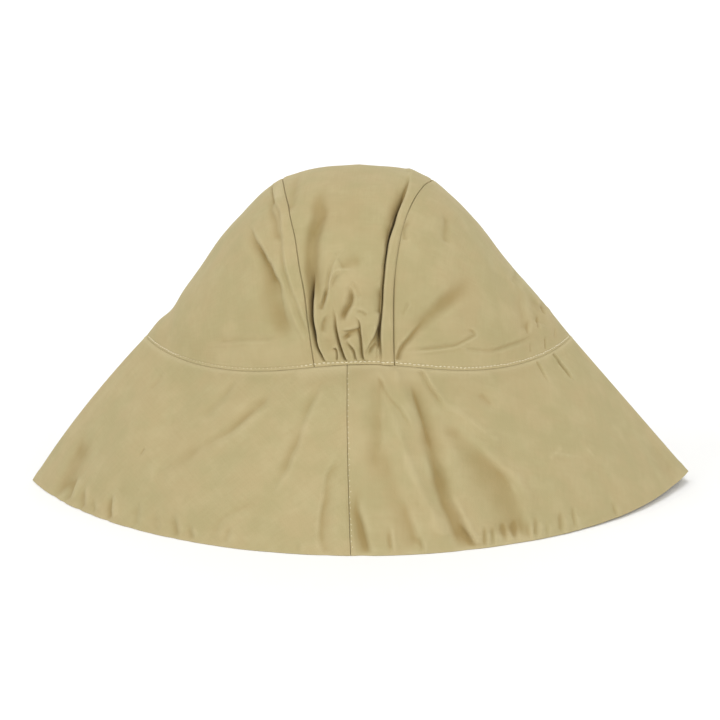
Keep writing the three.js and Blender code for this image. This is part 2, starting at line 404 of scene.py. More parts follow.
@dataclass(frozen=True)
class Fold:
    """A fold along a route over a surface. Its left and right are those of a walker on the route.

    A depth below 0 stands out of the cloth. A crest is a swell of the cloth on the right, and a lap is how
    far that swell leans over the fold. The fades are shares of the route, at its start and its end.
    """

    name: str
    route: tuple[tuple[float, float], ...]
    depth: float
    left: float
    right: float
    crest: float = 0.0
    lap: float = 0.0
    fade: tuple[float, float] = (0.15, 0.35)

    def line(self, surface: Surface) -> Array:
        """The route as points on a surface, rounded at its corners.

        Args:
            surface: the surface that the route lies on.

        Returns:
            The points, in order.
        """
        knots = np.array(self.route, float)
        padded = np.vstack([2 * knots[0] - knots[1], knots, 2 * knots[-1] - knots[-2]])
        t = np.linspace(0.0, len(knots) - 1.0, 3 * (len(knots) - 1) + 1)
        i = np.minimum(t.astype(int), len(knots) - 2)
        s = (t - i)[:, None]
        p0, p1, p2, p3 = (padded[i + k] for k in range(4))
        squared = 2 * p0 - 5 * p1 + 4 * p2 - p3
        cubed = 3 * p1 - p0 - 3 * p2 + p3
        bend = 2 * p1 + (p2 - p0) * s + squared * s**2 + cubed * s**3
        return surface(bend[:, 0] / 2, bend[:, 1] / 2)

    def move(self, surface: Surface, base: Array, normal: Array) -> Array:
        """How the fold moves each point.

        Args:
            surface: the surface that the route lies on.
            base: points on that surface.
            normal: their outward normals.

        Returns:
            One vector for each point.
        """
        moved = np.zeros_like(base)
        line = self.line(surface)
        reach = BELL_REACH * max(self.left, self.right) + CREST_REACH * self.crest_place() + REACH_SPARE
        near = np.all((base > line.min(0) - reach) & (base < line.max(0) + reach), axis=-1)
        points, outward = base[near], normal[near]
        if not len(points):
            return moved
        starts, ways = line[:-1], np.diff(line, axis=0)
        lengths = np.linalg.norm(ways, axis=-1)
        share = np.einsum("nmk,mk->nm", points[:, None] - starts, ways) / np.maximum(lengths, 1e-9) ** 2
        share = np.clip(share, 0.0, 1.0)
        gaps = points[:, None] - starts - share[..., None] * ways
        nearest = np.argmin(dot(gaps, gaps), axis=1)
        row = np.arange(len(points))
        gap = gaps[row, nearest]
        across = unit(np.cross(ways[nearest], outward))
        hand = np.where(dot(gap, across) < 0, -1.0, 1.0)
        distance = np.linalg.norm(gap, axis=-1) * hand
        passed = np.concatenate([[0.0], np.cumsum(lengths)])
        along = (passed[nearest] + share[row, nearest] * lengths[nearest]) / passed[-1]
        strength = ease((along + OVERRUN) / self.fade[0]) * ease((1.0 + OVERRUN - along) / self.fade[1])
        strength = strength * (1.0 + FOLD_UNEVENNESS * UNEVEN.at(points))
        width = min(self.left + self.right, FULL_WANDER_WIDTH)
        distance = distance + FOLD_WANDER * WANDERING.at(points) * width / FULL_WANDER_WIDTH
        swell = bell((distance - self.crest_place()) / self.crest_place())
        sunk = bell(distance / np.where(distance < 0, self.left, self.right))
        lift = self.crest * swell - self.depth * sunk
        moved[near] = (strength * lift)[:, None] * outward - (strength * self.lap * swell)[:, None] * across
        return moved

    def crest_place(self) -> float:
        """How far the swell's top lies from the route."""
        return self.right + CREST_SHIFT * self.left


def fold_moves(folds: Sequence[Fold], surface: Surface, base: Array, normal: Array) -> Array:
    """The moves of several folds together.

    Args:
        folds: the folds.
        surface: the surface that their routes lie on.
        base: points on that surface, in any grid.
        normal: their outward normals.

    Returns:
        One vector for each point, in the same grid.
    """
    flat, outward = base.reshape(-1, 3), normal.reshape(-1, 3)
    total = np.zeros_like(flat)
    for fold in folds:
        total += fold.move(surface, flat, outward)
    return total.reshape(base.shape)


# ---------------------------------------------------------------- meshes


CREASE_ROUNDS = 20
INNER_ROUNDS = 5


@dataclass
class ClothSheet:
    """A grid of points on one side of a piece of cloth, with what the finish reads from it.

    Seen from outside, rows follow each other upwards and columns to the right. The grain is the place on
    the flat cloth, the lift is all that raises a point off the plain form, and folded is the folds' share
    of it. The last grid says how much the finish lightens the cloth: painted light against shade beside
    the brim seam and at pale marks, and wear along the rim.
    """

    points: Array
    grain: Array
    lift: Array
    folded: Array
    worn_and_lit: Array

    def marks(self) -> dict[str, Array]:
        """How deep each point lies in a fold or a crease, how far it stands out, and how much it is
        lightened.

        Returns:
            A grid for each mark.
        """
        over = self.lift - spread_out(self.lift, CREASE_ROUNDS)
        # The finish paints shade into folds and creases from these marks, lightens raised cloth as wear and
        # painted highlight, and lightens the last mark's places as painted light and rim wear.
        return {
            "fold": np.maximum(-self.folded, 0.0),
            "crease": np.maximum(-over, 0.0),
            "crest": np.maximum(over, 0.0),
            "wear_and_light": self.worn_and_lit,
        }


def beside(grid: Array) -> list[Array]:
    """A grid's neighbours on all four sides; at an edge, the place itself."""
    wide = np.pad(grid, 1, mode="edge")
    return [wide[:-2, 1:-1], wide[2:, 1:-1], wide[1:-1, :-2], wide[1:-1, 2:]]


def spread_out(grid: Array, rounds: int) -> Array:
    """A grid of numbers, spread to its neighbours a number of times.

    Args:
        grid: the numbers.
        rounds: how often they are spread.

    Returns:
        The new grid.
    """
    for _ in range(rounds):
        grid = sum(beside(grid)) / 4
    return grid


def lowest_near(grid: Array, rounds: int) -> Array:
    """The lowest number in a grid within a number of steps of each place.

    Args:
        grid: the numbers.
        rounds: how many steps away it looks.

    Returns:
        The new grid.
    """
    for _ in range(rounds):
        grid = np.minimum.reduce([grid, *beside(grid)])
    return grid


def grid_quads(grid: Array) -> list[tuple[int, ...]]:
    """The four-sided faces of a grid of vertex numbers."""
    corners = [grid[:-1, :-1], grid[:-1, 1:], grid[1:, 1:], grid[1:, :-1]]
    return [tuple(face) for face in np.stack(corners, axis=-1).reshape(-1, 4).tolist()]


@dataclass(frozen=True)
class ShellMaker:
    """Makes closed pieces of cloth from an outer and a coarser inner grid."""

    coarser: int = 3

    def faces(self, rows: int, columns: int) -> list[tuple[int, ...]]:
        """The faces of a shell whose outer grid comes first, and its inner grid after it.

        Args:
            rows: rows of the outer grid, one more than a multiple of coarser.
            columns: columns of the outer grid, likewise.

        Returns:
            Tuples of vertex numbers.
        """
        few_rows, few_columns = self.few(rows), self.few(columns)
        outer = np.arange(rows * columns).reshape(rows, columns)
        inner = rows * columns + np.arange(few_rows * few_columns).reshape(few_rows, few_columns)
        faces = grid_quads(outer) + grid_quads(inner[:, ::-1])
        edge, inside = self.loop(outer), self.loop(inner)
        k, half = self.coarser, self.coarser // 2
        for s, here in enumerate(inside):
            there = inside[(s + 1) % len(inside)]
            fine = [edge[(s * k + t) % len(edge)] for t in range(k + 1)]
            faces += [(fine[t + 1], fine[t], here if t < half else there) for t in range(k)]
            faces.append((fine[half], here, there))
        return faces

    def few(self, count: int) -> int:
        """How many rows or columns the inner grid keeps."""
        return (count - 1) // self.coarser + 1

    @staticmethod
    def loop(grid: Array) -> list[int]:
        """The vertex numbers round a grid's edge, counterclockwise."""
        sides = [grid[0, :-1], grid[:-1, -1], grid[-1, :0:-1], grid[:0:-1, 0]]
        return np.concatenate(sides).tolist()

    def make(self, name: str, form: HatForm, sheet: ClothSheet, inner: Array) -> bpy.types.Object:
        """Makes a piece of cloth.

        Args:
            name: the object's name.
            form: places the points in the frame.
            sheet: the outer side.
            inner: points of the inner side, on the same grid as the outer side's.

        Returns:
            The object, linked to the scene.
        """
        rows, columns = sheet.points.shape[:2]
        k = self.coarser
        points = np.vstack([sheet.points.reshape(-1, 3), inner[::k, ::k].reshape(-1, 3)])
        grain = np.vstack([sheet.grain.reshape(-1, 2), sheet.grain[::k, ::k].reshape(-1, 2)])
        mesh = bpy.data.meshes.new(name)
        mesh.from_pydata(form.place(points).tolist(), [], self.faces(rows, columns))
        corners = np.zeros(len(mesh.loops), int)
        mesh.loops.foreach_get("vertex_index", corners)
        mesh.uv_layers.new(name="Grain").uv.foreach_set("vector", (grain[corners] * MM).ravel())
        for label, values in sheet.marks().items():
            whole = np.concatenate([values.ravel(), np.zeros(len(points) - rows * columns)])
            mesh.attributes.new(label, "FLOAT", "POINT").data.foreach_set("value", whole)
        return finish_mesh(name, mesh)


def link(name: str, data: bpy.types.ID) -> bpy.types.Object:
    """A new object in the scene.

    Args:
        name: the object's name.
        data: its mesh, light or camera.

    Returns:
        The object.
    """
    made = bpy.data.objects.new(name, data)
    bpy.context.scene.collection.objects.link(made)
    return made


def finish_mesh(name: str, mesh: bpy.types.Mesh, sharp_angle: float = 65.0) -> bpy.types.Object:
    """Merges doubled vertices, shades the mesh smooth and links it as an object.

    Args:
        name: the object's name.
        mesh: the mesh.
        sharp_angle: edges that bend more than this stay sharp.

    Returns:
        The object.
    """
    work = bmesh.new()
    work.from_mesh(mesh)
    bmesh.ops.remove_doubles(work, verts=work.verts, dist=MERGE_DISTANCE)
    bmesh.ops.recalc_face_normals(work, faces=work.faces)
    work.to_mesh(mesh)
    work.free()
    mesh.shade_smooth()
    mesh.set_sharp_from_angle(angle=math.radians(sharp_angle))
    return link(name, mesh)


def along_rows(points: Array, from_column: int) -> Array:
    """Distances along each row of a grid from one of its columns.

    Args:
        points: a grid of points.
        from_column: the column that they count from.

    Returns:
        The distances, below 0 to the left of that column.
    """
    steps = np.linalg.norm(np.diff(points, axis=1), axis=-1)
    total = np.concatenate([np.zeros((len(points), 1)), np.cumsum(steps, axis=1)], axis=1)
    return total - total[:, from_column : from_column + 1]


# ---------------------------------------------------------------- seams


@dataclass(frozen=True)
class PaleMark:
    """A short pale mark between two places on a surface, mostly painted light."""

    start: tuple[float, float]
    end: tuple[float, float]
    reach: float
    strength: float = 1.0

    def at(self, surface: Surface, points: Array) -> Array:
        """How much the mark shows at points on the surface.

        Args:
            surface: the surface that the mark lies on.
            points: places on it.

        Returns:
            A share for each point.
        """
        start, end = (surface(*np.array(place)) for place in (self.start, self.end))
        way = end - start
        share = np.clip((points - start) @ way / (way @ way), 0.0, 1.0)
        gap = np.linalg.norm(points - start - share[..., None] * way, axis=-1)
        return self.strength * bell(gap / self.reach)


@dataclass(frozen=True)
class SeamRoll:
    """How cloth rolls into a sewn seam, with a groove beside it where a row of stitches pulls it in."""

    depth: float = 1.0
    radius: float = 0.8
    ridge: float = 0.3
    ridge_at: float = 2.0
    ridge_width: float = 1.3
    groove: float = 0.0
    groove_at: float = 1.5
    groove_width: float = 0.5

    def lift(self, distance: Array) -> Array:
        """The lift at a distance from the seam.

        Args:
            distance: distance from the seam.

        Returns:
            The lift.
        """
        roll = self.depth * rounded_off(1.0 - distance / self.radius)
        ridge = self.ridge * bell((distance - self.ridge_at) / self.ridge_width)
        return ridge - roll - self.groove * bell((distance - self.groove_at) / self.groove_width)


LONG_SEAM = SeamRoll(depth=1.1, radius=0.6, ridge=0.12)
CROWN_FOOT = SeamRoll(
    depth=0.08, radius=0.26, ridge=0.08, ridge_at=0.6, ridge_width=0.35, groove=0.3, groove_at=1.3
)
BRIM_TOP = SeamRoll(depth=0.06, radius=0.26, ridge=0.22, ridge_at=0.8, ridge_width=0.6)
BACK_JOIN = SeamRoll(depth=0.6, radius=0.36, ridge=0.12, ridge_at=1.4, ridge_width=0.8)


@dataclass(frozen=True)
class SeamBand:
    """The strip of cloth that a pressed seam allowance lifts beside a seam."""

    width: float = 6.0
    height: float = 0.8
    edge: float = 0.7
    start: float = 1.2

    def lift(self, distance: Array) -> Array:
        """The lift at a distance from the seam."""
        covered = 1.0 - ease((distance - self.width) / self.edge + 0.5)
        return self.height * covered * ease(distance / self.start)


# ---------------------------------------------------------------- the crown


@dataclass
class CrownPanel:
    """A panel of the crown, between two edges that each have an X at every arch."""

    form: HatForm
    name: str
    folds: tuple[Fold, ...]
    columns: int
    rows: int = 313
    wall: float = 1.3
    edge_gap: float = 0.06
    # The rows lie closest together at the brim seam and over the gathers.
    row_crowds: tuple[Crowd, ...] = (
        Crowd(extra=12.0, width=0.5),
        Crowd(extra=5.0, width=3.0),
        Crowd(extra=3.0, width=46.0, even=True),
        Crowd(extra=1.4, width=92.0, even=True),
        Crowd(extra=9.0, width=1.5, at=180.0),
    )
    crumples: tuple[tuple[Crumple, float], ...] = (
        (Crumple(seed=3, size=34.0), 0.6),
        (Crumple(seed=5, size=18.0), 0.5),
        (Crumple(seed=8, size=9.0), 0.24),
        (Crumple(seed=43, size=21.0, creased=True), 0.4),
    )
    # Pale marks, painted light on the cloth.
    pale_marks: tuple[PaleMark, ...] = ()
    # The right long seam is pressed flat between two arches, and draws the cloth in less there.
    pressed: tuple[float, float] = (22.0, 60.0)
    pressed_ramp: float = 8.0
    pressed_share: float = 0.65
    # Folds are held back in a strip beside the brim seam, and everything is at the side points.
    held_share: float = 0.25
    held_from: float = 1.2
    held_ramp: float = 2.2
    point_share: float = 0.12
    # The crumple is calm beside the brim seam and over the top.
    calm_height: float = 12.0
    top_calm: float = 0.65
    top_spread: float = 16.0
    # Painted light beside the brim seam, against the shade at the crown's foot: how much, and how far up.
    rubbed_and_lit: float = 0.7
    rubbed_and_lit_height: float = 2.8
    # Normals are read a little inside the side points and the panel's feet.
    read_share: float = 0.995
    least_arch: float = 0.5

    def edges(self, arch: Array) -> tuple[Array, Array]:
        """The X of the panel's left and right edge at an arch angle."""
        raise NotImplementedError

    def seam_lift(self, x: Array, arch: Array) -> Array:
        """The lift that the panel's seams give its cloth."""
        raise NotImplementedError

    def column_stations(self) -> Array:
        """The columns' shares of the way from the left edge to the right one."""
        raise NotImplementedError

    def long_seam_lift(self, side: Side, x: Array, arch: Array) -> Array:
        """How one long seam draws the cloth in.

        Args:
            side: which long seam.
            x: distance to the right of the middle.
            arch: angle over the top, from the back.

        Returns:
            The lift.
        """
        roll = LONG_SEAM.lift(np.abs(x - self.form.long_seam(side, arch)))
        if side is Side.LEFT:
            return roll
        low, high = self.pressed
        flat = ease((arch - low) / self.pressed_ramp) * ease((high - arch) / self.pressed_ramp)
        return roll * (1.0 - self.pressed_share * flat)

    def body_lift(self, x: Array, arch: Array) -> Array:
        """The lift of the panel's own fullness."""
        return np.zeros_like(x)

    def above_seam(self, x: Array, arch: Array) -> Array:
        """The height over the brim seam, along the cloth."""
        return self.form.arch_radius(x) * np.radians(np.minimum(arch, 180.0 - arch))

    def bend(self, x: Array, arch: Array) -> tuple[Array, Array, Array]:
        """The panel's outer surface.

        Args:
            x: distance to the right of the middle.
            arch: angle over the top, from the back.

        Returns:
            The points, how far each is lifted off the plain form, and the folds' share of that.
        """
        base = self.form.crown(x, arch)
        normal = self.outward(x, arch)
        above = self.above_seam(x, arch)
        held = self.held_share + (1.0 - self.held_share) * ease((above - self.held_from) / self.held_ramp)
        tip = ease((1.0 - np.abs(x) / self.form.seam_half_width) / self.point_share)
        crumple = sum(height * waves.at(base) for waves, height in self.crumples)
        moves = fold_moves(self.folds, self.form.crown, base, normal) * (held * tip)[..., None]
        seams = self.seam_lift(x, arch) * tip + CROWN_FOOT.lift(above)
        calm = ease(above / self.calm_height) * tip
        calm = calm * (1.0 - self.top_calm * bell((arch - 90.0) / self.top_spread))
        lift = self.body_lift(x, arch) * tip + crumple * calm + seams
        folded = dot(moves, normal)
        return base + moves + lift[..., None] * normal, lift + folded, folded

    def outward(self, x: Array, arch: Array) -> Array:
        """The plain form's outward normals, read a little inside its edges and points."""
        inside = np.minimum(np.abs(x), self.read_share * self.form.seam_half_width) * np.sign(x)
        return normals_of(self.form.crown, inside, np.clip(arch, self.least_arch, 180.0 - self.least_arch))

    def build(self, maker: ShellMaker) -> bpy.types.Object:
        """Makes the panel's mesh.

        Args:
            maker: closes the cloth.

        Returns:
            The object, linked to the scene.
        """
        arch = stations(0.0, 180.0, self.rows, self.row_crowds)[:, None]
        left, right = self.edges(arch)
        x = left + self.edge_gap + (right - left - 2 * self.edge_gap) * self.column_stations()[None, :]
        x = np.clip(x, -self.form.seam_half_width, self.form.seam_half_width)
        arch = np.broadcast_to(arch, x.shape)
        points, lift, folded = self.bend(x, arch)
        base = self.form.crown(x, arch)
        sunk = lowest_near(lift, INNER_ROUNDS)[..., None] * self.outward(x, arch)
        heart = np.array([0.0, 0.0, self.form.seam_height])
        thin = 1.0 - self.wall / self.form.seam_half_depth
        inner = heart + (base + sunk - heart) * thin
        along = self.form.seam_half_depth * np.radians(arch)
        grain = np.stack([along_rows(base, self.columns // 2), along], axis=-1)
        # Painted light, lightening the cloth beside the brim seam and at the pale marks.
        worn_and_lit = self.rubbed_and_lit * bell(self.above_seam(x, arch) / self.rubbed_and_lit_height)
        worn_and_lit = worn_and_lit + sum(pale_mark.at(self.form.crown, base) for pale_mark in self.pale_marks)
        return maker.make(self.name, self.form, ClothSheet(points, grain, lift, folded, worn_and_lit), inner)


# The routes of the crown's folds are in X and arch. A fold's depth also darkens the cloth's colour as
# painted shade; broad shallow folds such as upper_shade, gathers_sunk and above_arches are there mostly for
# that.
CENTRE_PANEL_FOLDS = (
    Fold("left_pleat", ((-15.4, 1.3), (-16.8, 3.1), (-18.4, 5.6), (-19.6, 8.8), (-20.3, 12.0),
                        (-20.9, 15.5), (-21.1, 19.0), (-21.2, 24.0), (-21.2, 31.0)),
         depth=4.0, left=1.7, right=0.4, crest=1.0, lap=0.9, fade=(0.3, 0.4)),
    Fold("pleat_foot", ((-15.5, 1.2), (-17.0, 3.1), (-18.8, 5.8), (-20.0, 9.0)),
         depth=1.5, left=0.9, right=0.4, crest=0.5, lap=0.4, fade=(0.08, 0.5)),
    Fold("pleat_heart", ((-18.8, 7.2), (-20.1, 12.0), (-20.8, 18.0), (-20.9, 24.5)),
         depth=3.6, left=1.4, right=0.7, fade=(0.25, 0.2)),
    Fold("left_trough", ((-21.2, 15.0), (-21.6, 22.5), (-22.0, 30.0), (-21.9, 38.5), (-21.2, 44.7),
                         (-20.1, 51.5), (-18.9, 59.3), (-18.2, 66.0), (-17.2, 75.0)),
         depth=3.2, left=3.5, right=3.8, fade=(0.2, 0.5)),
    Fold("top_left_dent", ((-32.5, 56.0), (-31.6, 72.0), (-30.0, 88.0)), depth=1.3, left=3.0, right=3.4),
    Fold("long_gather", ((-5.2, 0.7), (-6.7, 3.0), (-7.9, 5.3), (-9.1, 8.0), (-10.1, 11.2), (-10.5, 14.2),
                         (-11.7, 16.8), (-13.0, 18.9)),
         depth=2.6, left=1.1, right=0.35, crest=1.0, lap=0.4, fade=(0.04, 0.75)),
    Fold("short_gather", ((-9.9, 0.9), (-9.8, 3.3), (-10.6, 4.9), (-12.8, 4.6)),
         depth=1.3, left=0.7, right=0.35, crest=0.6, lap=0.2),
    Fold("bent_wrinkle", ((-7.1, 12.2), (-5.9, 15.4), (-3.9, 18.2), (-3.2, 21.0), (-4.2, 24.4)),
         depth=2.4, left=1.9, right=1.1, crest=0.25, fade=(0.3, 0.4)),
    Fold("outer_arch", ((-17.3, 17.2), (-15.8, 19.9), (-14.6, 22.7), (-14.0, 26.0), (-12.8, 29.9),
                        (-10.2, 34.2), (-5.6, 37.3)),
         depth=0.9, left=1.1, right=0.6, crest=0.5, fade=(0.2, 0.5)),
    Fold("inner_arch", ((-13.8, 22.5), (-13.4, 24.8), (-12.2, 27.6), (-9.4, 29.2), (-4.0, 29.0),
                        (0.0, 27.8)),
         depth=-0.8, left=0.9, right=0.9, fade=(0.3, 0.5)),
    Fold("under_inner_arch", ((-12.2, 22.5), (-12.0, 24.8), (-11.0, 26.4), (-8.8, 27.6), (-4.2, 27.5)),
         depth=0.6, left=0.9, right=1.4, fade=(0.3, 0.5)),
    Fold("outer_arch_foot", ((-17.6, 16.8), (-15.6, 20.2), (-14.4, 24.2)), depth=0.9, left=1.6, right=0.9),
    Fold("low_arc", ((-17.2, 9.7), (-16.1, 13.2), (-13.0, 15.6)),
         depth=1.1, left=0.8, right=1.9, fade=(0.3, 0.5)),
    Fold("low_hollow", ((-14.2, 3.0), (-14.6, 9.0)), depth=0.5, left=2.2, right=2.6),
    Fold("hooked_gather", ((3.0, 0.7), (2.2, 3.2), (1.6, 6.6), (1.0, 9.7), (0.6, 12.2), (-0.9, 13.6),
                           (-3.4, 14.2)),
         depth=2.6, left=1.1, right=0.35, crest=1.0, lap=0.5, fade=(0.04, 0.5)),
    Fold("cross_wrinkle", ((1.0, 10.7), (-3.4, 10.1), (-8.2, 9.9)),
         depth=1.7, left=2.4, right=0.4, crest=0.5, lap=0.4, fade=(0.15, 0.5)),
    Fold("slant_gather", ((-0.8, 0.7), (-1.4, 3.2), (-2.5, 4.7), (-4.6, 6.1), (-6.4, 7.6)),
         depth=2.0, left=1.0, right=0.4, crest=0.7, lap=0.4, fade=(0.05, 0.5)),
    Fold("gather_pit", ((-4.6, 7.6), (-6.2, 9.2)), depth=1.4, left=1.8, right=1.8, fade=(0.4, 0.4)),
    Fold("inner_side", ((0.3, 19.6), (-0.6, 22.6), (-2.6, 25.4)), depth=0.7, left=1.5, right=1.2),
    Fold("light_wrinkle", ((3.9, 14.4), (1.5, 15.5), (-1.4, 15.6)),
         depth=0.8, left=0.9, right=0.6, crest=0.4),
    Fold("foot_hollow", ((9.2, 4.0), (9.7, 9.0), (10.1, 14.0)),
         depth=1.6, left=2.4, right=0.6, fade=(0.2, 0.5)),
    Fold("foot_slant", ((10.2, 12.2), (8.1, 8.6), (5.7, 5.9), (3.4, 2.6)),
         depth=1.9, left=2.2, right=0.4, crest=0.7, lap=0.3, fade=(0.2, 0.3)),
    Fold("gathers_sunk", ((-7.0, 3.0), (-6.0, 12.0), (-4.0, 22.0)),
         depth=0.6, left=11.0, right=11.0, fade=(0.1, 0.6)),
    Fold("foot_slant_two", ((8.9, 6.6), (6.2, 4.7), (4.6, 2.4)), depth=1.0, left=0.9, right=0.5, crest=0.4),
    Fold("band_gather", ((8.6, 0.9), (8.6, 3.0), (8.9, 5.6)), depth=0.6, left=0.5, right=0.4, crest=0.4),
    Fold("right_pleat", ((10.8, 1.5), (10.6, 4.5), (10.5, 7.9), (10.7, 11.8), (11.2, 15.0), (11.8, 19.0),
                         (12.4, 24.4), (13.1, 29.6), (14.2, 36.0), (16.2, 43.6), (19.6, 53.4), (22.8, 62.4),
                         (24.5, 71.8), (25.0, 82.0)),
         depth=4.3, left=1.35, right=0.4, crest=0.4, lap=0.9, fade=(0.14, 0.42)),
    Fold("right_trough", ((14.5, 36.0), (17.5, 46.4), (20.1, 54.4), (22.5, 65.0), (23.8, 74.0)),
         depth=2.8, left=4.6, right=0.6, fade=(0.3, 0.5)),
    Fold("band_corner", ((25.4, 72.0), (25.9, 84.0), (26.2, 100.0)),
         depth=-0.7, left=1.2, right=3.2, fade=(0.4, 0.4)),
    Fold("right_bulge", ((9.2, 15.0), (9.9, 20.0), (10.6, 24.4)), depth=1.7, left=2.2, right=0.6),
    Fold("upper_dent", ((0.0, 42.0), (4.0, 52.0), (2.0, 62.0)), depth=0.3, left=7.0, right=7.0),
    Fold("upper_shade", ((-6.0, 36.0), (-4.0, 52.0), (-4.0, 74.0), (-4.0, 90.0)),
         depth=0.8, left=18.0, right=14.0, fade=(0.3, 0.3)),
    Fold("above_arches", ((-9.0, 30.4), (-3.0, 31.8), (3.0, 31.4)), depth=1.3, left=4.0, right=3.6),
    Fold("front_dent", ((-20.0, 172.0), (-14.0, 150.0), (-16.0, 128.0)), depth=0.9, left=9.0, right=11.0),
)


@dataclass
class CentrePanel(CrownPanel):
    """The panel over the top, gathered at its back foot."""

    name: str = "centre_panel_cloth"
    columns: int = 226
    band: SeamBand = field(default_factory=lambda: SeamBand(height=0.7, edge=0.4))
    puff_arch: float = 19.0
    puff_spread: float = 15.0
    puff_height: float = 4.5
    band_top: float = 60.0
    band_ramp: float = 12.0
    folds: tuple[Fold, ...] = CENTRE_PANEL_FOLDS

    def edges(self, arch: Array) -> tuple[Array, Array]:
        """The X of the two long seams at an arch angle."""
        return self.form.long_seam(Side.LEFT, arch), self.form.long_seam(Side.RIGHT, arch)

    def column_stations(self) -> Array:
        """The columns' shares, a little closer at both seams."""
        crowds = (Crowd(extra=5.0, width=0.008), Crowd(extra=0.6, width=0.05))
        return stations(0.0, 1.0, self.columns, crowds, both_ends=True)

    def seam_lift(self, x: Array, arch: Array) -> Array:
        """Both long seams, and the band that the right one's allowance lifts.

        Args:
            x: distance to the right of the middle.
            arch: angle over the top, from the back.

        Returns:
            The lift.
        """
        band = self.band.lift(self.edges(arch)[1] - x) * ease((self.band_top - arch) / self.band_ramp)
        left, right = (self.long_seam_lift(side, x, arch) for side in Side)
        return left + right + band

    def body_lift(self, x: Array, arch: Array) -> Array:
        """The fullness that the gathers push up above them.

        Args:
            x: distance to the right of the middle.
            arch: angle over the top, from the back.

        Returns:
            The lift.
        """
        left, right = self.edges(arch)
        across = np.clip((x - left) / (right - left), 0.0, 1.0)
        return self.puff_height * bell((arch - self.puff_arch) / self.puff_spread) * np.sin(np.pi * across)


@dataclass
class SidePanel(CrownPanel):
    """A side panel, which comes to a point at the side of the hat."""

    side: Side = Side.LEFT
    columns: int = 211

    def edges(self, arch: Array) -> tuple[Array, Array]:
        """The X of the long seam and of the side point, from left to right.

        Args:
            arch: angle over the top, from the back.

        Returns:
            The left edge's X and the right edge's.
        """
        seam = self.form.long_seam(self.side, arch)
        point = np.full_like(seam, self.side.value * self.form.seam_half_width)
        return (point, seam) if self.side is Side.LEFT else (seam, point)

    def column_stations(self) -> Array:
        """The columns' shares, closer at the long seam and at the point.

        Returns:
            The shares, in rising order.
        """
        at_seam = (Crowd(extra=7.0, width=0.006), Crowd(extra=0.8, width=0.3))
        steps = stations(0.0, 1.0, self.columns, (*at_seam, Crowd(extra=1.5, width=0.1, at=1.0)))
        return 1.0 - steps[::-1] if self.side is Side.LEFT else steps

    def seam_lift(self, x: Array, arch: Array) -> Array:
        """The panel's one long seam."""
        return self.long_seam_lift(self.side, x, arch)


# A fold's depth also darkens the cloth's colour as painted shade.
LEFT_PANEL_FOLDS = (
    Fold("allowance_edge", ((-24.4, 8.6), (-26.0, 13.4), (-28.9, 18.4), (-32.2, 24.4), (-34.9, 30.4),
                            (-36.6, 36.6), (-37.4, 47.8), (-38.6, 58.6), (-41.6, 69.1), (-43.2, 91.0)),
         depth=0.85, left=1.5, right=1.0, crest=0.6, fade=(0.1, 0.1)),
    Fold("allowance_top", ((-40.8, 65.0), (-42.6, 74.0), (-43.3, 92.0)),
         depth=0.6, left=0.8, right=0.5, crest=0.8),
    Fold("upper_streak", ((-38.0, 44.0), (-40.4, 54.0), (-42.8, 65.0), (-45.0, 78.0)),
         depth=1.6, left=2.8, right=1.7),
    Fold("brown_valley", ((-34.6, 13.5), (-35.8, 18.0), (-37.4, 24.7), (-39.8, 30.4), (-43.8, 38.2),
                          (-47.9, 46.8), (-51.5, 56.2), (-54.0, 65.0)),
         depth=1.6, left=4.2, right=1.2, crest=0.3, fade=(0.2, 0.28)),
    Fold("valley_core", ((-39.6, 29.0), (-42.5, 34.9), (-45.8, 42.1), (-49.0, 51.0)),
         depth=0.7, left=1.5, right=0.9),
    Fold("valley_foot", ((-28.5, 8.0), (-33.5, 12.6), (-38.6, 18.4), (-42.6, 25.4), (-45.4, 33.0),
                         (-48.0, 42.0)),
         depth=2.0, left=7.0, right=4.2, fade=(0.3, 0.5)),
    Fold("seam_ridge", ((-25.0, 7.8), (-30.5, 15.3), (-33.8, 22.4)), depth=-0.5, left=1.2, right=1.2),
    Fold("level_crease", ((-68.3, 13.3), (-51.7, 11.3), (-35.3, 9.6)),
         depth=0.65, left=1.8, right=1.0, crest=0.2),
    Fold("front_dent", ((-44.0, 166.0), (-56.0, 146.0), (-64.0, 124.0)), depth=1.1, left=11.0, right=9.0),
)
# Painted light: a highlight on the raised allowance near the top, and a lighter strip against the shade
# above the brim seam.
LEFT_PANEL_PALE_MARKS = (
    PaleMark((-38.8, 82.0), (-38.6, 69.0), 2.2, 1.0),
    PaleMark((-40.6, 79.0), (-40.2, 70.0), 1.4, 0.6),
    PaleMark((-66.0, 6.5), (-30.0, 5.0), 4.5, 0.45),
)
# Painted light against the shade above the brim seam.
RIGHT_PANEL_PALE_MARKS = (PaleMark((26.0, 4.0), (62.0, 4.0), 4.5, 0.5),)
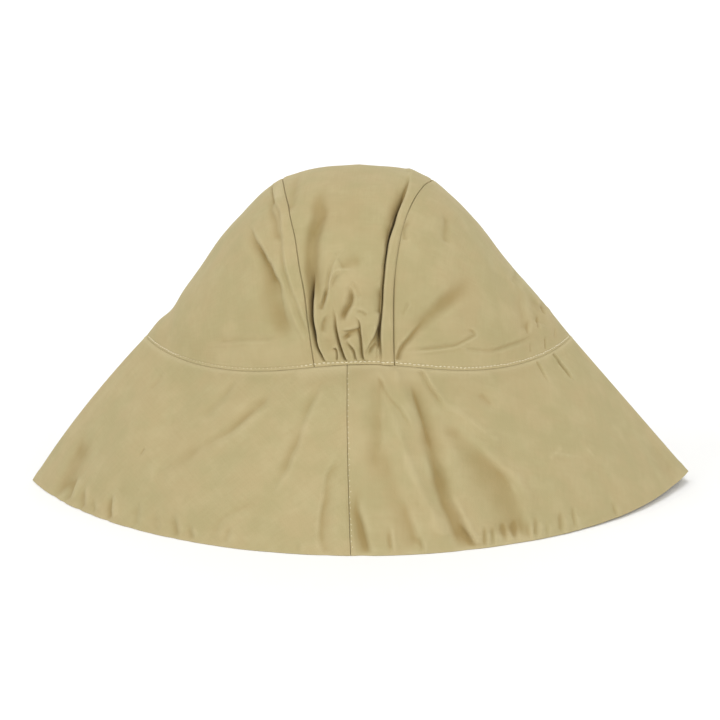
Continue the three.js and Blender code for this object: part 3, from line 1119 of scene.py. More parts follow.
# A fold's depth also darkens the cloth's colour as painted shade; edge_shade is there mostly for that.
RIGHT_PANEL_FOLDS = (
    Fold("big_valley", ((62.0, 45.5), (53.5, 35.3), (46.1, 27.4), (39.3, 20.8), (33.2, 15.5), (27.5, 11.0),
                        (22.3, 7.2)),
         depth=1.9, left=5.6, right=4.4, fade=(0.7, 0.25)),
    Fold("valley_cleft", ((33.0, 16.0), (27.5, 11.4), (24.0, 8.4), (21.2, 6.2), (19.4, 4.4), (18.4, 2.4),
                          (18.1, 1.2)),
         depth=1.9, left=1.8, right=0.9, fade=(0.6, 0.08)),
    Fold("upper_hollow", ((38.0, 18.5), (48.0, 28.5), (60.0, 42.0)),
         depth=0.6, left=7.0, right=8.0, fade=(0.5, 0.5)),
    Fold("edge_shade", ((89.0, 34.0), (88.0, 50.0), (87.0, 70.0)), depth=1.5, left=5.5, right=7.0),
    Fold("under_ridge", ((28.0, 9.4), (36.0, 14.7), (46.0, 21.6), (56.0, 30.0)),
         depth=-0.6, left=3.0, right=3.0),
    Fold("low_crease", ((21.6, 4.4), (26.9, 5.3), (34.1, 6.4), (41.4, 7.7), (45.8, 8.6), (49.5, 10.3),
                        (53.2, 12.2), (55.9, 13.9), (54.9, 15.4), (51.5, 15.6)),
         depth=0.8, left=1.1, right=0.6, crest=0.35, fade=(0.3, 0.12)),
    Fold("side_crease", ((50.6, 9.8), (52.5, 8.0), (59.9, 8.2), (69.1, 10.5), (76.2, 14.3), (83.5, 19.5),
                         (87.8, 25.8), (91.4, 32.5)),
         depth=0.8, left=0.8, right=1.4, crest=0.3, fade=(0.1, 0.5)),
    Fold("side_hollow", ((83.0, 24.0), (80.3, 40.3), (79.6, 60.0)), depth=1.2, left=6.0, right=3.0),
    Fold("side_pit_one", ((83.4, 22.0), (83.9, 36.0)), depth=0.8, left=1.2, right=0.9, crest=0.3),
    Fold("side_pit_two", ((88.7, 30.0), (89.6, 46.5)), depth=0.8, left=1.2, right=0.9, crest=0.3),
    Fold("side_pit_three", ((93.2, 54.0), (91.6, 68.0)), depth=1.0, left=1.6, right=1.0),
    Fold("outline_dent_one", ((76.0, 56.0), (78.5, 75.0), (80.0, 96.0)),
         depth=1.1, left=2.2, right=3.2, crest=0.5),
    Fold("outline_dent_two", ((92.5, 62.0), (93.5, 80.0), (94.0, 98.0)),
         depth=0.9, left=2.0, right=2.6, crest=0.4),
    Fold("seam_tick", ((20.9, 15.2), (24.0, 20.8)), depth=0.45, left=0.8, right=0.6, crest=0.2),
    Fold("seam_patch", ((22.4, 40.9), (21.8, 46.5), (25.6, 51.1)), depth=0.8, left=1.0, right=1.6),
    Fold("upright_dent", ((42.4, 46.0), (43.0, 64.0)), depth=1.0, left=3.0, right=3.0),
    Fold("foot_tick_one", ((84.4, 7.0), (84.4, 15.0)), depth=0.6, left=0.8, right=0.6),
    Fold("foot_tick_two", ((92.8, 5.8), (92.9, 23.3)), depth=0.8, left=0.8, right=0.6),
    Fold("foot_tick_three", ((98.1, 21.8), (99.0, 44.0)), depth=0.6, left=1.0, right=0.8),
    Fold("front_dent", ((44.0, 164.0), (57.0, 144.0), (66.0, 122.0)), depth=1.1, left=10.0, right=12.0),
)


# ---------------------------------------------------------------- the brim


BRIM_STEP = 0.002
LEVEL = np.array([1.0, 1.0, 0.0])


@dataclass(frozen=True)
class HemPucker:
    """A short dimple above the rim: its foot's turn, its top's lean, and its height, depth and width."""

    turn: float
    lean: float
    height: float
    depth: float
    width: float = 1.3
    hem: float = 0.8
    sink: float = 0.75
    steep_side: float = 0.6
    swell: float = 0.35

    def fold(self, slant: float) -> Fold:
        """The pucker as a fold of the brim.

        Args:
            slant: the length of the brim's slope.

        Returns:
            The fold, with its route in turns and shares of the way down.
        """
        foot, top = 1.0 - self.hem / slant, 1.0 - (self.hem + self.height) / slant
        return Fold(
            "pucker",
            ((self.turn, foot), (self.turn + self.lean, top)),
            depth=self.sink * self.depth,
            left=self.width,
            right=self.steep_side * self.width,
            crest=self.swell * self.depth,
            fade=(0.25, 0.6),
        )


BACK_PUCKERS = (
    HemPucker(-58.6, -3.4, 15.0, 2.1, 5.2),
    HemPucker(-52.8, -4.1, 13.0, 1.8, 4.0),
    HemPucker(-49.2, -4.0, 11.0, 1.1, 3.2),
    HemPucker(-44.6, -3.9, 14.0, 2.0, 3.4),
    HemPucker(-38.4, -3.2, 16.0, 1.3, 4.2),
    HemPucker(-34.0, -2.8, 12.0, 0.8, 3.8),
    HemPucker(-29.6, -3.6, 14.0, 1.3, 3.4),
    HemPucker(-26.9, -2.1, 10.0, 1.1, 2.4),
    HemPucker(-21.6, 0.8, 13.0, 0.8, 2.6),
    HemPucker(-9.5, -0.1, 6.0, 0.6, 2.0),
    HemPucker(4.9, -0.1, 15.0, 1.0, 1.4),
    HemPucker(9.9, -0.3, 9.0, 1.2, 1.5),
    HemPucker(18.4, -2.1, 14.0, 1.2, 1.9),
    HemPucker(19.8, 1.3, 11.0, 1.4, 1.3),
    HemPucker(21.3, 1.0, 10.0, 1.1, 1.4),
    HemPucker(23.8, 0.4, 12.0, 1.4, 1.8),
    HemPucker(25.3, 1.4, 12.0, 1.3, 1.6),
    HemPucker(27.8, 1.1, 11.0, 1.0, 1.4),
    HemPucker(29.1, 1.7, 13.0, 1.6, 2.0),
    HemPucker(31.3, 0.9, 9.0, 0.7),
    HemPucker(33.6, 2.3, 12.0, 1.6, 1.9),
    HemPucker(36.9, 2.0, 13.0, 1.1, 1.6),
    HemPucker(46.7, 1.2, 9.0, 1.0, 1.8),
)


def hem_puckers(slant: float, seed: int = 41, front_count: int = 22) -> list[Fold]:
    """The puckers of the hem: at the back at their own turns, and spread round the front.

    Args:
        slant: the length of the brim's slope.
        seed: sets the front's random puckers.
        front_count: how many of them there are.

    Returns:
        The puckers as folds.
    """
    draw = np.random.default_rng(seed)
    first, last, stray = 98.0, 262.0, 3.0
    leans, heights, depths = (-1.5, 1.5), (4.0, 9.0), (0.5, 1.3)
    turns = np.linspace(first, last, front_count) + draw.uniform(-stray, stray, front_count)
    front = [HemPucker(turn, *(draw.uniform(*span) for span in (leans, heights, depths))) for turn in turns]
    return [pucker.fold(slant) for pucker in (*BACK_PUCKERS, *front)]


# The routes of the brim's folds are in turns and shares of the way down. A fold's depth also darkens the
# cloth's colour as painted shade; broad shallow folds such as join_shade, ridge_shade, foot_shade,
# far_floor, upper_basin and valley_heart are there mostly for that.
BRIM_FOLDS = (
    Fold("first_ridge", ((13.6, 0.93), (12.1, 0.8), (10.7, 0.66), (9.4, 0.53), (8.3, 0.4), (7.3, 0.27),
                         (6.3, 0.15)),
         depth=-1.1, left=3.2, right=2.8, fade=(0.1, 0.3)),
    Fold("join_shade", ((2.0, 0.98), (1.6, 0.8), (1.4, 0.6), (2.0, 0.42)),
         depth=0.6, left=8.0, right=9.0, fade=(0.1, 0.5)),
    Fold("ridge_shade", ((8.4, 0.99), (7.6, 0.88), (6.0, 0.7), (4.8, 0.5), (4.8, 0.36)),
         depth=1.2, left=6.0, right=4.6, fade=(0.1, 0.25)),
    Fold("upper_ridge", ((11.6, 0.3), (10.6, 0.2), (9.4, 0.1), (8.8, 0.0)),
         depth=-0.9, left=2.6, right=2.6, fade=(0.4, 0.05)),
    Fold("upper_ridge_edge", ((10.9, 0.36), (10.2, 0.31), (8.9, 0.23), (6.5, 0.15), (4.5, 0.04)),
         depth=0.6, left=1.2, right=0.8, crest=0.35, fade=(0.25, 0.15)),
    Fold("main_valley", ((16.1, 1.0), (15.9, 0.93), (15.5, 0.84), (15.0, 0.74), (14.6, 0.64), (14.5, 0.54),
                         (14.6, 0.43), (14.2, 0.3), (13.4, 0.18), (12.6, 0.07), (12.0, 0.0)),
         depth=1.9, left=3.4, right=5.2, fade=(0.1, 0.24)),
    Fold("valley_crease", ((14.3, 0.62), (14.2, 0.43), (13.7, 0.29), (13.1, 0.18), (12.4, 0.08)),
         depth=0.65, left=0.7, right=1.6, fade=(0.5, 0.3)),
    Fold("upper_valley", ((19.8, 0.25), (19.2, 0.21), (18.0, 0.15), (16.8, 0.09), (16.0, 0.0)),
         depth=1.05, left=1.8, right=1.0, crest=0.45, fade=(0.4, 0.12)),
    Fold("upper_slope", ((30.0, 0.44), (27.3, 0.38), (22.9, 0.26), (20.7, 0.2), (19.1, 0.13)),
         depth=-0.8, left=3.0, right=4.0),
    Fold("far_hollow", ((26.6, 0.98), (27.3, 0.86), (27.6, 0.74), (26.8, 0.62), (24.4, 0.51), (21.4, 0.41),
                        (18.4, 0.3)),
         depth=1.6, left=7.5, right=3.8, fade=(0.1, 0.45)),
    Fold("far_floor", ((24.2, 0.97), (24.4, 0.82), (23.2, 0.66), (21.0, 0.5), (19.2, 0.38)),
         depth=1.4, left=9.5, right=8.0, fade=(0.1, 0.6)),
    Fold("foot_shade", ((17.6, 0.99), (17.4, 0.86), (17.0, 0.7)),
         depth=0.8, left=4.0, right=5.0, fade=(0.06, 0.5)),
    Fold("valley_heart", ((14.6, 0.76), (14.4, 0.66), (14.1, 0.54), (13.7, 0.42), (13.2, 0.31),
                          (12.8, 0.22)),
         depth=1.0, left=3.4, right=4.0, fade=(0.55, 0.4)),
    Fold("upper_basin", ((21.4, 0.48), (19.4, 0.36), (17.6, 0.24)),
         depth=1.1, left=4.5, right=6.5, fade=(0.5, 0.5)),
    Fold("second_ridge", ((18.7, 0.98), (18.1, 0.88), (17.1, 0.76), (16.0, 0.66)),
         depth=-0.9, left=1.9, right=2.2, fade=(0.1, 0.5)),
    Fold("far_ridge", ((30.0, 0.84), (30.2, 0.74), (29.6, 0.64), (28.0, 0.54)),
         depth=-0.8, left=3.0, right=3.4, fade=(0.3, 0.4)),
    Fold("far_shade", ((23.0, 0.1), (28.9, 0.15), (34.0, 0.2)), depth=0.5, left=4.0, right=5.0),
    Fold("join_hollow", ((2.1, 0.66), (2.9, 0.5), (3.7, 0.38), (4.3, 0.24), (4.8, 0.14), (5.2, 0.04)),
         depth=1.3, left=5.6, right=2.8, fade=(0.45, 0.2)),
    Fold("join_pleat", ((1.5, 1.0), (1.0, 0.94), (0.3, 0.83), (-0.3, 0.72), (-0.5, 0.6)),
         depth=1.8, left=4.0, right=1.9, crest=0.3, fade=(0.1, 0.6)),
    Fold("ridge_streak", ((9.2, 0.97), (8.2, 0.8), (7.4, 0.68)),
         depth=0.7, left=2.6, right=1.8, fade=(0.2, 0.4)),
    Fold("far_crease_one", ((51.4, 0.16), (52.4, 0.09), (53.7, 0.01)),
         depth=1.2, left=1.1, right=0.8, crest=0.5, fade=(0.5, 0.1)),
    Fold("far_crease_two", ((61.4, 0.2), (62.0, 0.12), (63.0, 0.01)),
         depth=1.4, left=1.0, right=0.8, crest=0.5, fade=(0.4, 0.1)),
    Fold("far_smudge", ((31.4, 0.21), (29.4, 0.13)), depth=0.6, left=2.6, right=2.0),
    Fold("left_long", ((-15.8, 0.72), (-15.2, 0.65), (-13.8, 0.54), (-12.4, 0.43), (-11.8, 0.31),
                       (-10.3, 0.18), (-7.8, 0.05)),
         depth=1.1, left=3.8, right=1.8, crest=0.3, fade=(0.3, 0.25)),
    Fold("left_upright", ((-5.3, 1.0), (-5.7, 0.88), (-5.7, 0.76), (-5.6, 0.66), (-5.3, 0.58), (-4.3, 0.52),
                          (-3.5, 0.46)),
         depth=1.1, left=1.3, right=3.8, fade=(0.06, 0.3)),
    Fold("left_slant", ((-41.5, 0.71), (-37.2, 0.62), (-34.2, 0.51), (-30.4, 0.42), (-27.7, 0.36),
                        (-25.7, 0.3), (-23.7, 0.23), (-22.0, 0.18), (-20.6, 0.1)),
         depth=1.25, left=5.6, right=2.4, crest=0.15, fade=(0.85, 0.16)),
    Fold("left_curve", ((-23.3, 0.99), (-23.6, 0.91), (-22.7, 0.84), (-19.8, 0.77), (-15.5, 0.68)),
         depth=0.45, left=3.4, right=2.2, fade=(0.1, 0.4)),
    Fold("left_patch", ((-40.5, 0.66), (-36.0, 0.58), (-31.0, 0.48)), depth=0.8, left=8.0, right=7.0),
    Fold("left_high", ((-35.1, 0.3), (-33.5, 0.2), (-32.5, 0.12), (-31.8, 0.02)),
         depth=0.8, left=5.0, right=3.0),
    Fold("left_spot", ((-20.0, 0.1), (-20.6, 0.02)), depth=0.4, left=1.8, right=1.6),
    Fold("left_end", ((-56.5, 0.22), (-55.9, 0.1)), depth=0.5, left=4.0, right=4.0),
    Fold("left_tip", ((-62.0, 0.99), (-64.5, 0.9), (-65.6, 0.81), (-67.3, 0.71), (-69.1, 0.63),
                      (-71.0, 0.54)),
         depth=2.0, left=6.5, right=13.0, fade=(0.2, 0.5)),
    Fold("left_speck", ((-46.0, 0.58), (-45.8, 0.53)), depth=0.5, left=0.9, right=0.8),
    Fold("right_tip", ((76.2, 0.97), (74.0, 0.84), (71.4, 0.66)),
         depth=1.1, left=14.0, right=9.0, fade=(0.3, 0.6)),
    Fold("front_right", ((121.0, 1.0), (124.0, 0.6), (127.0, 0.2)),
         depth=2.0, left=12.0, right=9.0, fade=(0.1, 0.6)),
    Fold("front_middle", ((168.0, 1.0), (169.0, 0.6), (172.0, 0.2)),
         depth=-2.4, left=9.0, right=9.0, fade=(0.05, 0.4)),
    Fold("front_left", ((229.0, 1.0), (225.0, 0.6), (221.0, 0.2)),
         depth=2.0, left=10.0, right=13.0, fade=(0.1, 0.6)),
)


@dataclass
class BrimLayer:
    """One layer of the brim: a C-shaped cloth whose ends meet in the seam at the back."""

    form: HatForm
    name: str
    inset: float
    columns: int
    rows: int
    wall: float = 1.3
    # The back seam's turns at the brim seam and at the rim.
    join: tuple[float, float] = (-2.8, -1.15)
    join_gap: float = 0.04
    hem_width: float = 7.0
    hem_raise: float = 0.25
    hem_step: float = 3.0
    hem_radius: float = 0.7
    hem_round: float = 0.6
    # The flat cloth that the layer is cut from is part of a ring.
    unrolled_per_turn: float = 0.651
    flat_seam_radius: float = 146.0
    # The columns lie closest together at the back seam, and the rows at both edges.
    column_crowds: tuple[Crowd, ...] = (Crowd(extra=1.9, width=0.16), Crowd(extra=8.0, width=0.001))
    row_crowds: tuple[Crowd, ...] = (
        Crowd(extra=12.0, width=0.004),
        Crowd(extra=1.5, width=0.04),
        Crowd(extra=9.0, width=0.008, at=1.0),
    )
    # Within some degrees of a side corner the cloth moves straight outwards. Normals are read a little off
    # the corner, the brim seam and the rim.
    corner_spread: float = 6.0
    corner_least: float = 0.4
    read_downs: tuple[float, float] = (0.01, 0.99)
    # The lift fades out beside the brim seam, towards the rim and at the side corners.
    fold_start: float = 3.0
    calm_start: float = 1.0
    calm_height: float = 14.0
    rim_calm: float = 16.0
    calm_share: float = 0.35
    corner_calm: tuple[float, float] = (0.06, 0.22)
    corner_end: float = 0.03
    # Painted light beside the brim seam, against the shade there, and wear along the rim: how much, and how
    # far from them.
    rubbed_and_lit: float = 1.3
    rubbed_and_lit_height: float = 2.2
    rim_rubbed: float = 0.8
    rim_rubbed_height: float = 0.8
    folds: tuple[Fold, ...] = BRIM_FOLDS
    crumples: tuple[tuple[Crumple, float], ...] = (
        (Crumple(seed=11, size=46.0), 1.2),
        (Crumple(seed=13, size=22.0), 0.8),
        (Crumple(seed=17, size=12.0), 0.3),
        (Crumple(seed=19, size=6.0), 0.07),
        (Crumple(seed=37, size=27.0, creased=True), 0.45),
    )
    # Pale marks: painted light against the shade below the brim seam and in the far hollow, and four short
    # pale streaks on the right of the brim.
    pale_marks: tuple[PaleMark, ...] = (
        PaleMark((39.1, 0.56), (43.0, 0.52), 0.9, 0.6),
        PaleMark((40.8, 0.54), (43.4, 0.57), 0.8, 0.6),
        PaleMark((43.4, 0.57), (46.4, 0.6), 0.8, 0.5),
        PaleMark((49.5, 0.58), (49.9, 0.62), 0.8, 0.8),
        PaleMark((28.3, 0.67), (28.5, 0.71), 0.8, 0.8),
        PaleMark((-14.0, 0.035), (-3.0, 0.03), 2.6, 0.9),
        PaleMark((5.0, 0.05), (13.0, 0.05), 3.2, 0.6),
        PaleMark((18.0, 0.03), (34.0, 0.03), 2.6, 0.5),
    )

    def surface(self, turn: Array, up: Array) -> Array:
        """The form's brim, with its second parameter running up, as folds and normals need it."""
        return self.form.brim(turn, 1.0 - up)

    def join_turn(self, down: Array) -> Array:
        """The turn of the back seam at a share of the way down."""
        return self.join[0] + (self.join[1] - self.join[0]) * down

    def directions(self, turn: Array, down: Array) -> tuple[Array, Array, Array]:
        """Which way the brim faces.

        Args:
            turn: angle round the hat.
            down: share of the way from the brim seam to the rim.

        Returns:
            The outward normals, their level parts, and the level ways in which the cloth moves.
        """
        past_corner = (turn % 180.0) - 90.0
        hand = np.where(past_corner < 0, -1.0, 1.0)
        read_at = turn - past_corner + hand * np.maximum(np.abs(past_corner), self.corner_least)
        normal = normals_of(self.surface, read_at, 1.0 - np.clip(down, *self.read_downs), BRIM_STEP)
        level = unit(normal * LEVEL)
        around = np.radians(turn)
        radial = np.stack([np.sin(around), -np.cos(around), np.zeros_like(turn)], axis=-1)
        aim = unit(level + (radial - level) * bell(past_corner / self.corner_spread)[..., None])
        return normal, level, aim

    def upward_folds(self) -> list[Fold]:
        """All the layer's folds and puckers, with routes for the surface that runs up.

        Returns:
            The folds.
        """
        downward = (*self.folds, *hem_puckers(self.form.brim_slant))
        return [
            replace(fold, route=tuple((turn, 1.0 - down) for turn, down in fold.route)) for fold in downward
        ]

    def bend(self, turn: Array, down: Array) -> tuple[Array, Array, Array]:
        """The layer's outer surface.

        Args:
            turn: angle round the hat.
            down: share of the way from the brim seam to the rim.

        Returns:
            The points, how far each is lifted off the plain form, and the folds' share of that.
        """
        base = self.form.brim(turn, down)
        normal, level, aim = self.directions(turn, down)
        from_seam, from_rim = self.form.brim_slant * down, self.form.brim_slant * (1.0 - down)
        moves = fold_moves(self.upward_folds(), self.surface, base, normal)
        moves = moves * ease(from_seam / self.fold_start)[..., None]
        folded = dot(moves, normal)
        corner = 1.0 - np.abs(np.sin(np.radians(turn)))
        low, span = self.corner_calm
        crumple = sum(height * waves.at(base) for waves, height in self.crumples)
        crumple = crumple * ease((from_seam - self.calm_start) / self.calm_height)
        for share in (from_rim / self.rim_calm, (corner - low) / span):
            crumple = crumple * (self.calm_share + (1.0 - self.calm_share) * ease(share))
        lift = (folded + crumple) * ease(corner / self.corner_end)
        lift = lift + self.edge_lift(turn, down, from_seam, from_rim)
        out = lift / dot(aim, normal) - self.inset / dot(aim, level)
        return base + aim * out[..., None], lift, folded

    def edge_lift(self, turn: Array, down: Array, from_seam: Array, from_rim: Array) -> Array:
        """The lift at the brim seam, at the back seam and along the hem.

        Args:
            turn: angle round the hat.
            down: share of the way from the brim seam to the rim.
            from_seam: distance from the brim seam.
            from_rim: distance from the rim.

        Returns:
            The lift.
        """
        radius = self.form.seam_half_depth + (self.form.rim_half_depth - self.form.seam_half_depth) * down
        away = (turn - self.join_turn(down) + 180.0) % 360.0 - 180.0
        from_join = radius * np.radians(np.abs(away))
        hem = self.hem_raise * (1.0 - ease((from_rim - self.hem_width) / self.hem_step + 0.5))
        roll = self.hem_round * self.wall * rounded_off(1.0 - from_rim / self.hem_radius)
        return BRIM_TOP.lift(from_seam) + BACK_JOIN.lift(from_join) + hem - roll

    def build(self, maker: ShellMaker) -> bpy.types.Object:
        """Makes the layer's mesh.

        Args:
            maker: closes the cloth.

        Returns:
            The object, linked to the scene.
        """
        down = stations(0.0, 1.0, self.rows, self.row_crowds)[::-1, None]
        gap = np.degrees(self.join_gap / self.form.seam_half_depth)
        shares = stations(0.0, 1.0, self.columns, self.column_crowds, both_ends=True)
        turn = self.join_turn(down) + gap + (360.0 - 2 * gap) * shares[None, :]
        down = np.broadcast_to(down, turn.shape)
        points, lift, folded = self.bend(turn, down)
        inner = points - unit(points * LEVEL) * self.wall
        base = self.form.brim(turn, down)
        # Painted light lightens the cloth beside the brim seam and at the pale marks; along the rim it is
        # wear.
        worn_and_lit = self.rubbed_and_lit * bell(self.form.brim_slant * down / self.rubbed_and_lit_height)
        worn_and_lit = worn_and_lit + self.rim_rubbed * bell(self.form.brim_slant * (1.0 - down) / self.rim_rubbed_height)
        worn_and_lit = worn_and_lit + sum(pale_mark.at(self.form.brim, base) for pale_mark in self.pale_marks)
        sheet = ClothSheet(points, self.grain(turn, down), lift, folded, worn_and_lit)
        return maker.make(self.name, self.form, sheet, inner)

    def grain(self, turn: Array, down: Array) -> Array:
        """Where each point lay on the flat cloth that the layer was cut from.

        Args:
            turn: angle round the hat.
            down: share of the way from the brim seam to the rim.

        Returns:
            The places, in the last axis.
        """
        angle = np.radians(turn) * self.unrolled_per_turn
        radius = self.flat_seam_radius + self.form.brim_slant * down
        return np.stack([radius * np.sin(angle), -radius * np.cos(angle)], axis=-1)


# ---------------------------------------------------------------- stitching


@dataclass
class ThreadRow:
    """A row of stitches along a path, each an arched tube that dips into the cloth at both ends."""

    name: str
    stitch: float = 2.15
    gap: float = 1.02
    radius: float = 0.25
    rise: float = 0.24
    hump: float = 1.6
    dip: float = 0.9
    sides: int = 6
    rings: int = 8
    wobble: float = 0.15
    seed: int = 23

    def path(self, distance: Array, aside: Array) -> tuple[Array, Array]:
        """Points on the cloth at distances along the row and aside from it, and their outward normals."""
        raise NotImplementedError

    def length(self) -> float:
        """The row's length."""
        raise NotImplementedError

    def sunk(self, distance: Array) -> Array:
        """How deep the row is pulled into the cloth."""
        return np.zeros_like(distance)

    def starts(self) -> Array:
        """Where each stitch starts."""
        count = int(self.length() / self.stitch)
        return np.arange(count) * self.length() / count

    def build(self, form: HatForm) -> bpy.types.Object:
        """Makes all the row's stitches as one mesh of small closed tubes.

        Args:
            form: places the points in the frame.

        Returns:
            The object, linked to the scene.
        """
        starts = self.starts()
        draw = np.random.default_rng(self.seed)
        aside = draw.normal(0.0, self.wobble, (len(starts), 2))
        share = np.linspace(0.0, 1.0, self.rings)
        distance = starts[:, None] + self.gap / 2 + (self.stitch - self.gap) * share
        offset = aside[:, :1] + (aside[:, 1:] - aside[:, :1]) * share
        points, normals = self.path(distance, offset)
        lift = self.rise * (np.sqrt(np.sin(np.pi * share)) * self.hump - self.dip) - self.sunk(distance)
        points = points + lift[..., None] * normals
        ahead = unit(np.gradient(points, axis=1))
        across = unit(np.cross(ahead, normals))
        upward = np.cross(across, ahead)
        angle = np.linspace(0.0, 2 * np.pi, self.sides, endpoint=False)
        around = across[:, :, None] * np.cos(angle)[:, None] + upward[:, :, None] * np.sin(angle)[:, None]
        skin = points[:, :, None] + self.radius * around
        faces = []
        for first in range(0, len(starts) * self.rings * self.sides, self.rings * self.sides):
            rings = first + np.arange(self.rings * self.sides).reshape(self.rings, self.sides)
            faces += grid_quads(np.hstack([rings, rings[:, :1]]))
            faces += [tuple(rings[0, ::-1].tolist()), tuple(rings[-1].tolist())]
        mesh = bpy.data.meshes.new(self.name)
        mesh.from_pydata(form.place(skin.reshape(-1, 3)).tolist(), [], faces)
        return finish_mesh(self.name, mesh)


@dataclass
class TopStitching(ThreadRow):
    """The row of stitches round the foot of the crown."""

    panels: tuple[SidePanel, CentrePanel, SidePanel] = ()
    above: float = 1.3
    reach: float = 0.985
    samples: int = 2881
    # Between two turns, left of the back, the row was sewn so tight that it all but disappears.
    tight: tuple[float, float] = (-60.0, -12.0)
    tight_ramps: tuple[float, float] = (6.0, 4.0)
    tight_depth: float = 0.34

    def __post_init__(self) -> None:
        """Measures the row."""
        self.form = self.panels[0].form
        self.turns = np.linspace(-180.0, 180.0, self.samples)
        points = self.form.crown(*self.place(self.turns, np.zeros_like(self.turns)))
        steps = np.linalg.norm(np.diff(points, axis=0), axis=-1)
        self.passed = np.concatenate([[0.0], np.cumsum(steps)])

    def place(self, turn: Array, aside: Array) -> tuple[Array, Array]:
        """The X and the arch angle at a turn, and at a distance above or below the row.

        Args:
            turn: angle round the hat.
            aside: distance above the row.

        Returns:
            The X and the arch angle.
        """
        x = self.reach * self.form.seam_half_width * np.sin(np.radians(turn))
        arch = np.minimum(np.degrees((self.above + aside) / self.form.arch_radius(x)), 90.0)
        return x, np.where(np.cos(np.radians(turn)) > 0, arch, 180.0 - arch)

    def length(self) -> float:
        """The row's length."""
        return float(self.passed[-1])

    def turn_at(self, distance: Array) -> Array:
        """The turn at a distance along the row."""
        return np.interp(distance % self.length(), self.passed, self.turns)

    def path(self, distance: Array, aside: Array) -> tuple[Array, Array]:
        """Points on the panels along the row, and their outward normals.

        Args:
            distance: distance along the row.
            aside: distance from the row's middle.

        Returns:
            The points and the normals.
        """
        x, arch = self.place(self.turn_at(distance), aside)
        left, right = self.form.long_seam(Side.LEFT, arch), self.form.long_seam(Side.RIGHT, arch)
        points = np.zeros((*x.shape, 3))
        for panel, mine in zip(self.panels, (x < left, (x >= left) & (x <= right), x > right)):
            points[mine] = panel.bend(x[mine], arch[mine])[0]
        return points, self.panels[0].outward(x, arch)

    def sunk(self, distance: Array) -> Array:
        """How deep the row is pulled in, which is most where it was sewn tight.

        Args:
            distance: distance along the row.

        Returns:
            The depth.
        """
        turn = self.turn_at(distance)
        first, last = self.tight_ramps
        return self.tight_depth * ease((turn - self.tight[0]) / first) * ease((self.tight[1] - turn) / last)


@dataclass
class JoinStitching(ThreadRow):
    """The short stitches that show in the brim's back seam."""

    brim: BrimLayer | None = None
    end_gap: float = 3.0
    beside: float = 0.35

    def length(self) -> float:
        """The row's length, short of the brim seam and of the rim."""
        return self.brim.form.brim_slant - 2 * self.end_gap

    def path(self, distance: Array, aside: Array) -> tuple[Array, Array]:
        """Points in the seam's ditch, and their outward normals.

        Args:
            distance: distance along the row.
            aside: distance from the row's middle.

        Returns:
            The points and the normals.
        """
        down = (distance + self.end_gap) / self.brim.form.brim_slant
        past_seam = np.degrees((self.beside + aside) / self.brim.form.seam_half_depth)
        turn = self.brim.join_turn(down) + past_seam
        normal = normals_of(self.brim.surface, turn, 1.0 - down, BRIM_STEP)
        return self.brim.bend(turn, down)[0], normal


# ---------------------------------------------------------------- shader graphs


Socket = bpy.types.NodeSocket
Screen = tuple[int, int, int]


def from_screen(red: int, green: int, blue: int) -> tuple[float, float, float, float]:
    """A colour that screens show with channels from 0 to 255, as the shaders take it.

    Args:
        red: the red channel.
        green: the green channel.
        blue: the blue channel.

    Returns:
        The linear colour, with its alpha.
    """
    shares = [channel / 255 for channel in (red, green, blue)]
    linear = [share / 12.92 if share <= 0.04045 else ((share + 0.055) / 1.055) ** 2.4 for share in shares]
    return (*linear, 1.0)


@dataclass(frozen=True)
class Term:
    """A number in a shader, which Python's operators work on."""

    graph: "ShaderGraph"
    socket: Socket

    def __add__(self, other: "Term | float") -> "Term":
        """The sum."""
        return self.graph.math("ADD", self, other)

    def __sub__(self, other: "Term | float") -> "Term":
        """The difference."""
        return self.graph.math("SUBTRACT", self, other)

    def __rsub__(self, other: "Term | float") -> "Term":
        """The difference, from a number."""
        return self.graph.math("SUBTRACT", other, self)

    def __mul__(self, other: "Term | float") -> "Term":
        """The product."""
        return self.graph.math("MULTIPLY", self, other)

    __radd__ = __add__
    __rmul__ = __mul__

    def clamped(self) -> "Term":
        """The number, kept from 0 to 1."""
        return self.graph.math("ADD", self, 0.0, clamp=True)

    def sine(self) -> "Term":
        """The sine of the number."""
        return self.graph.math("SINE", self)


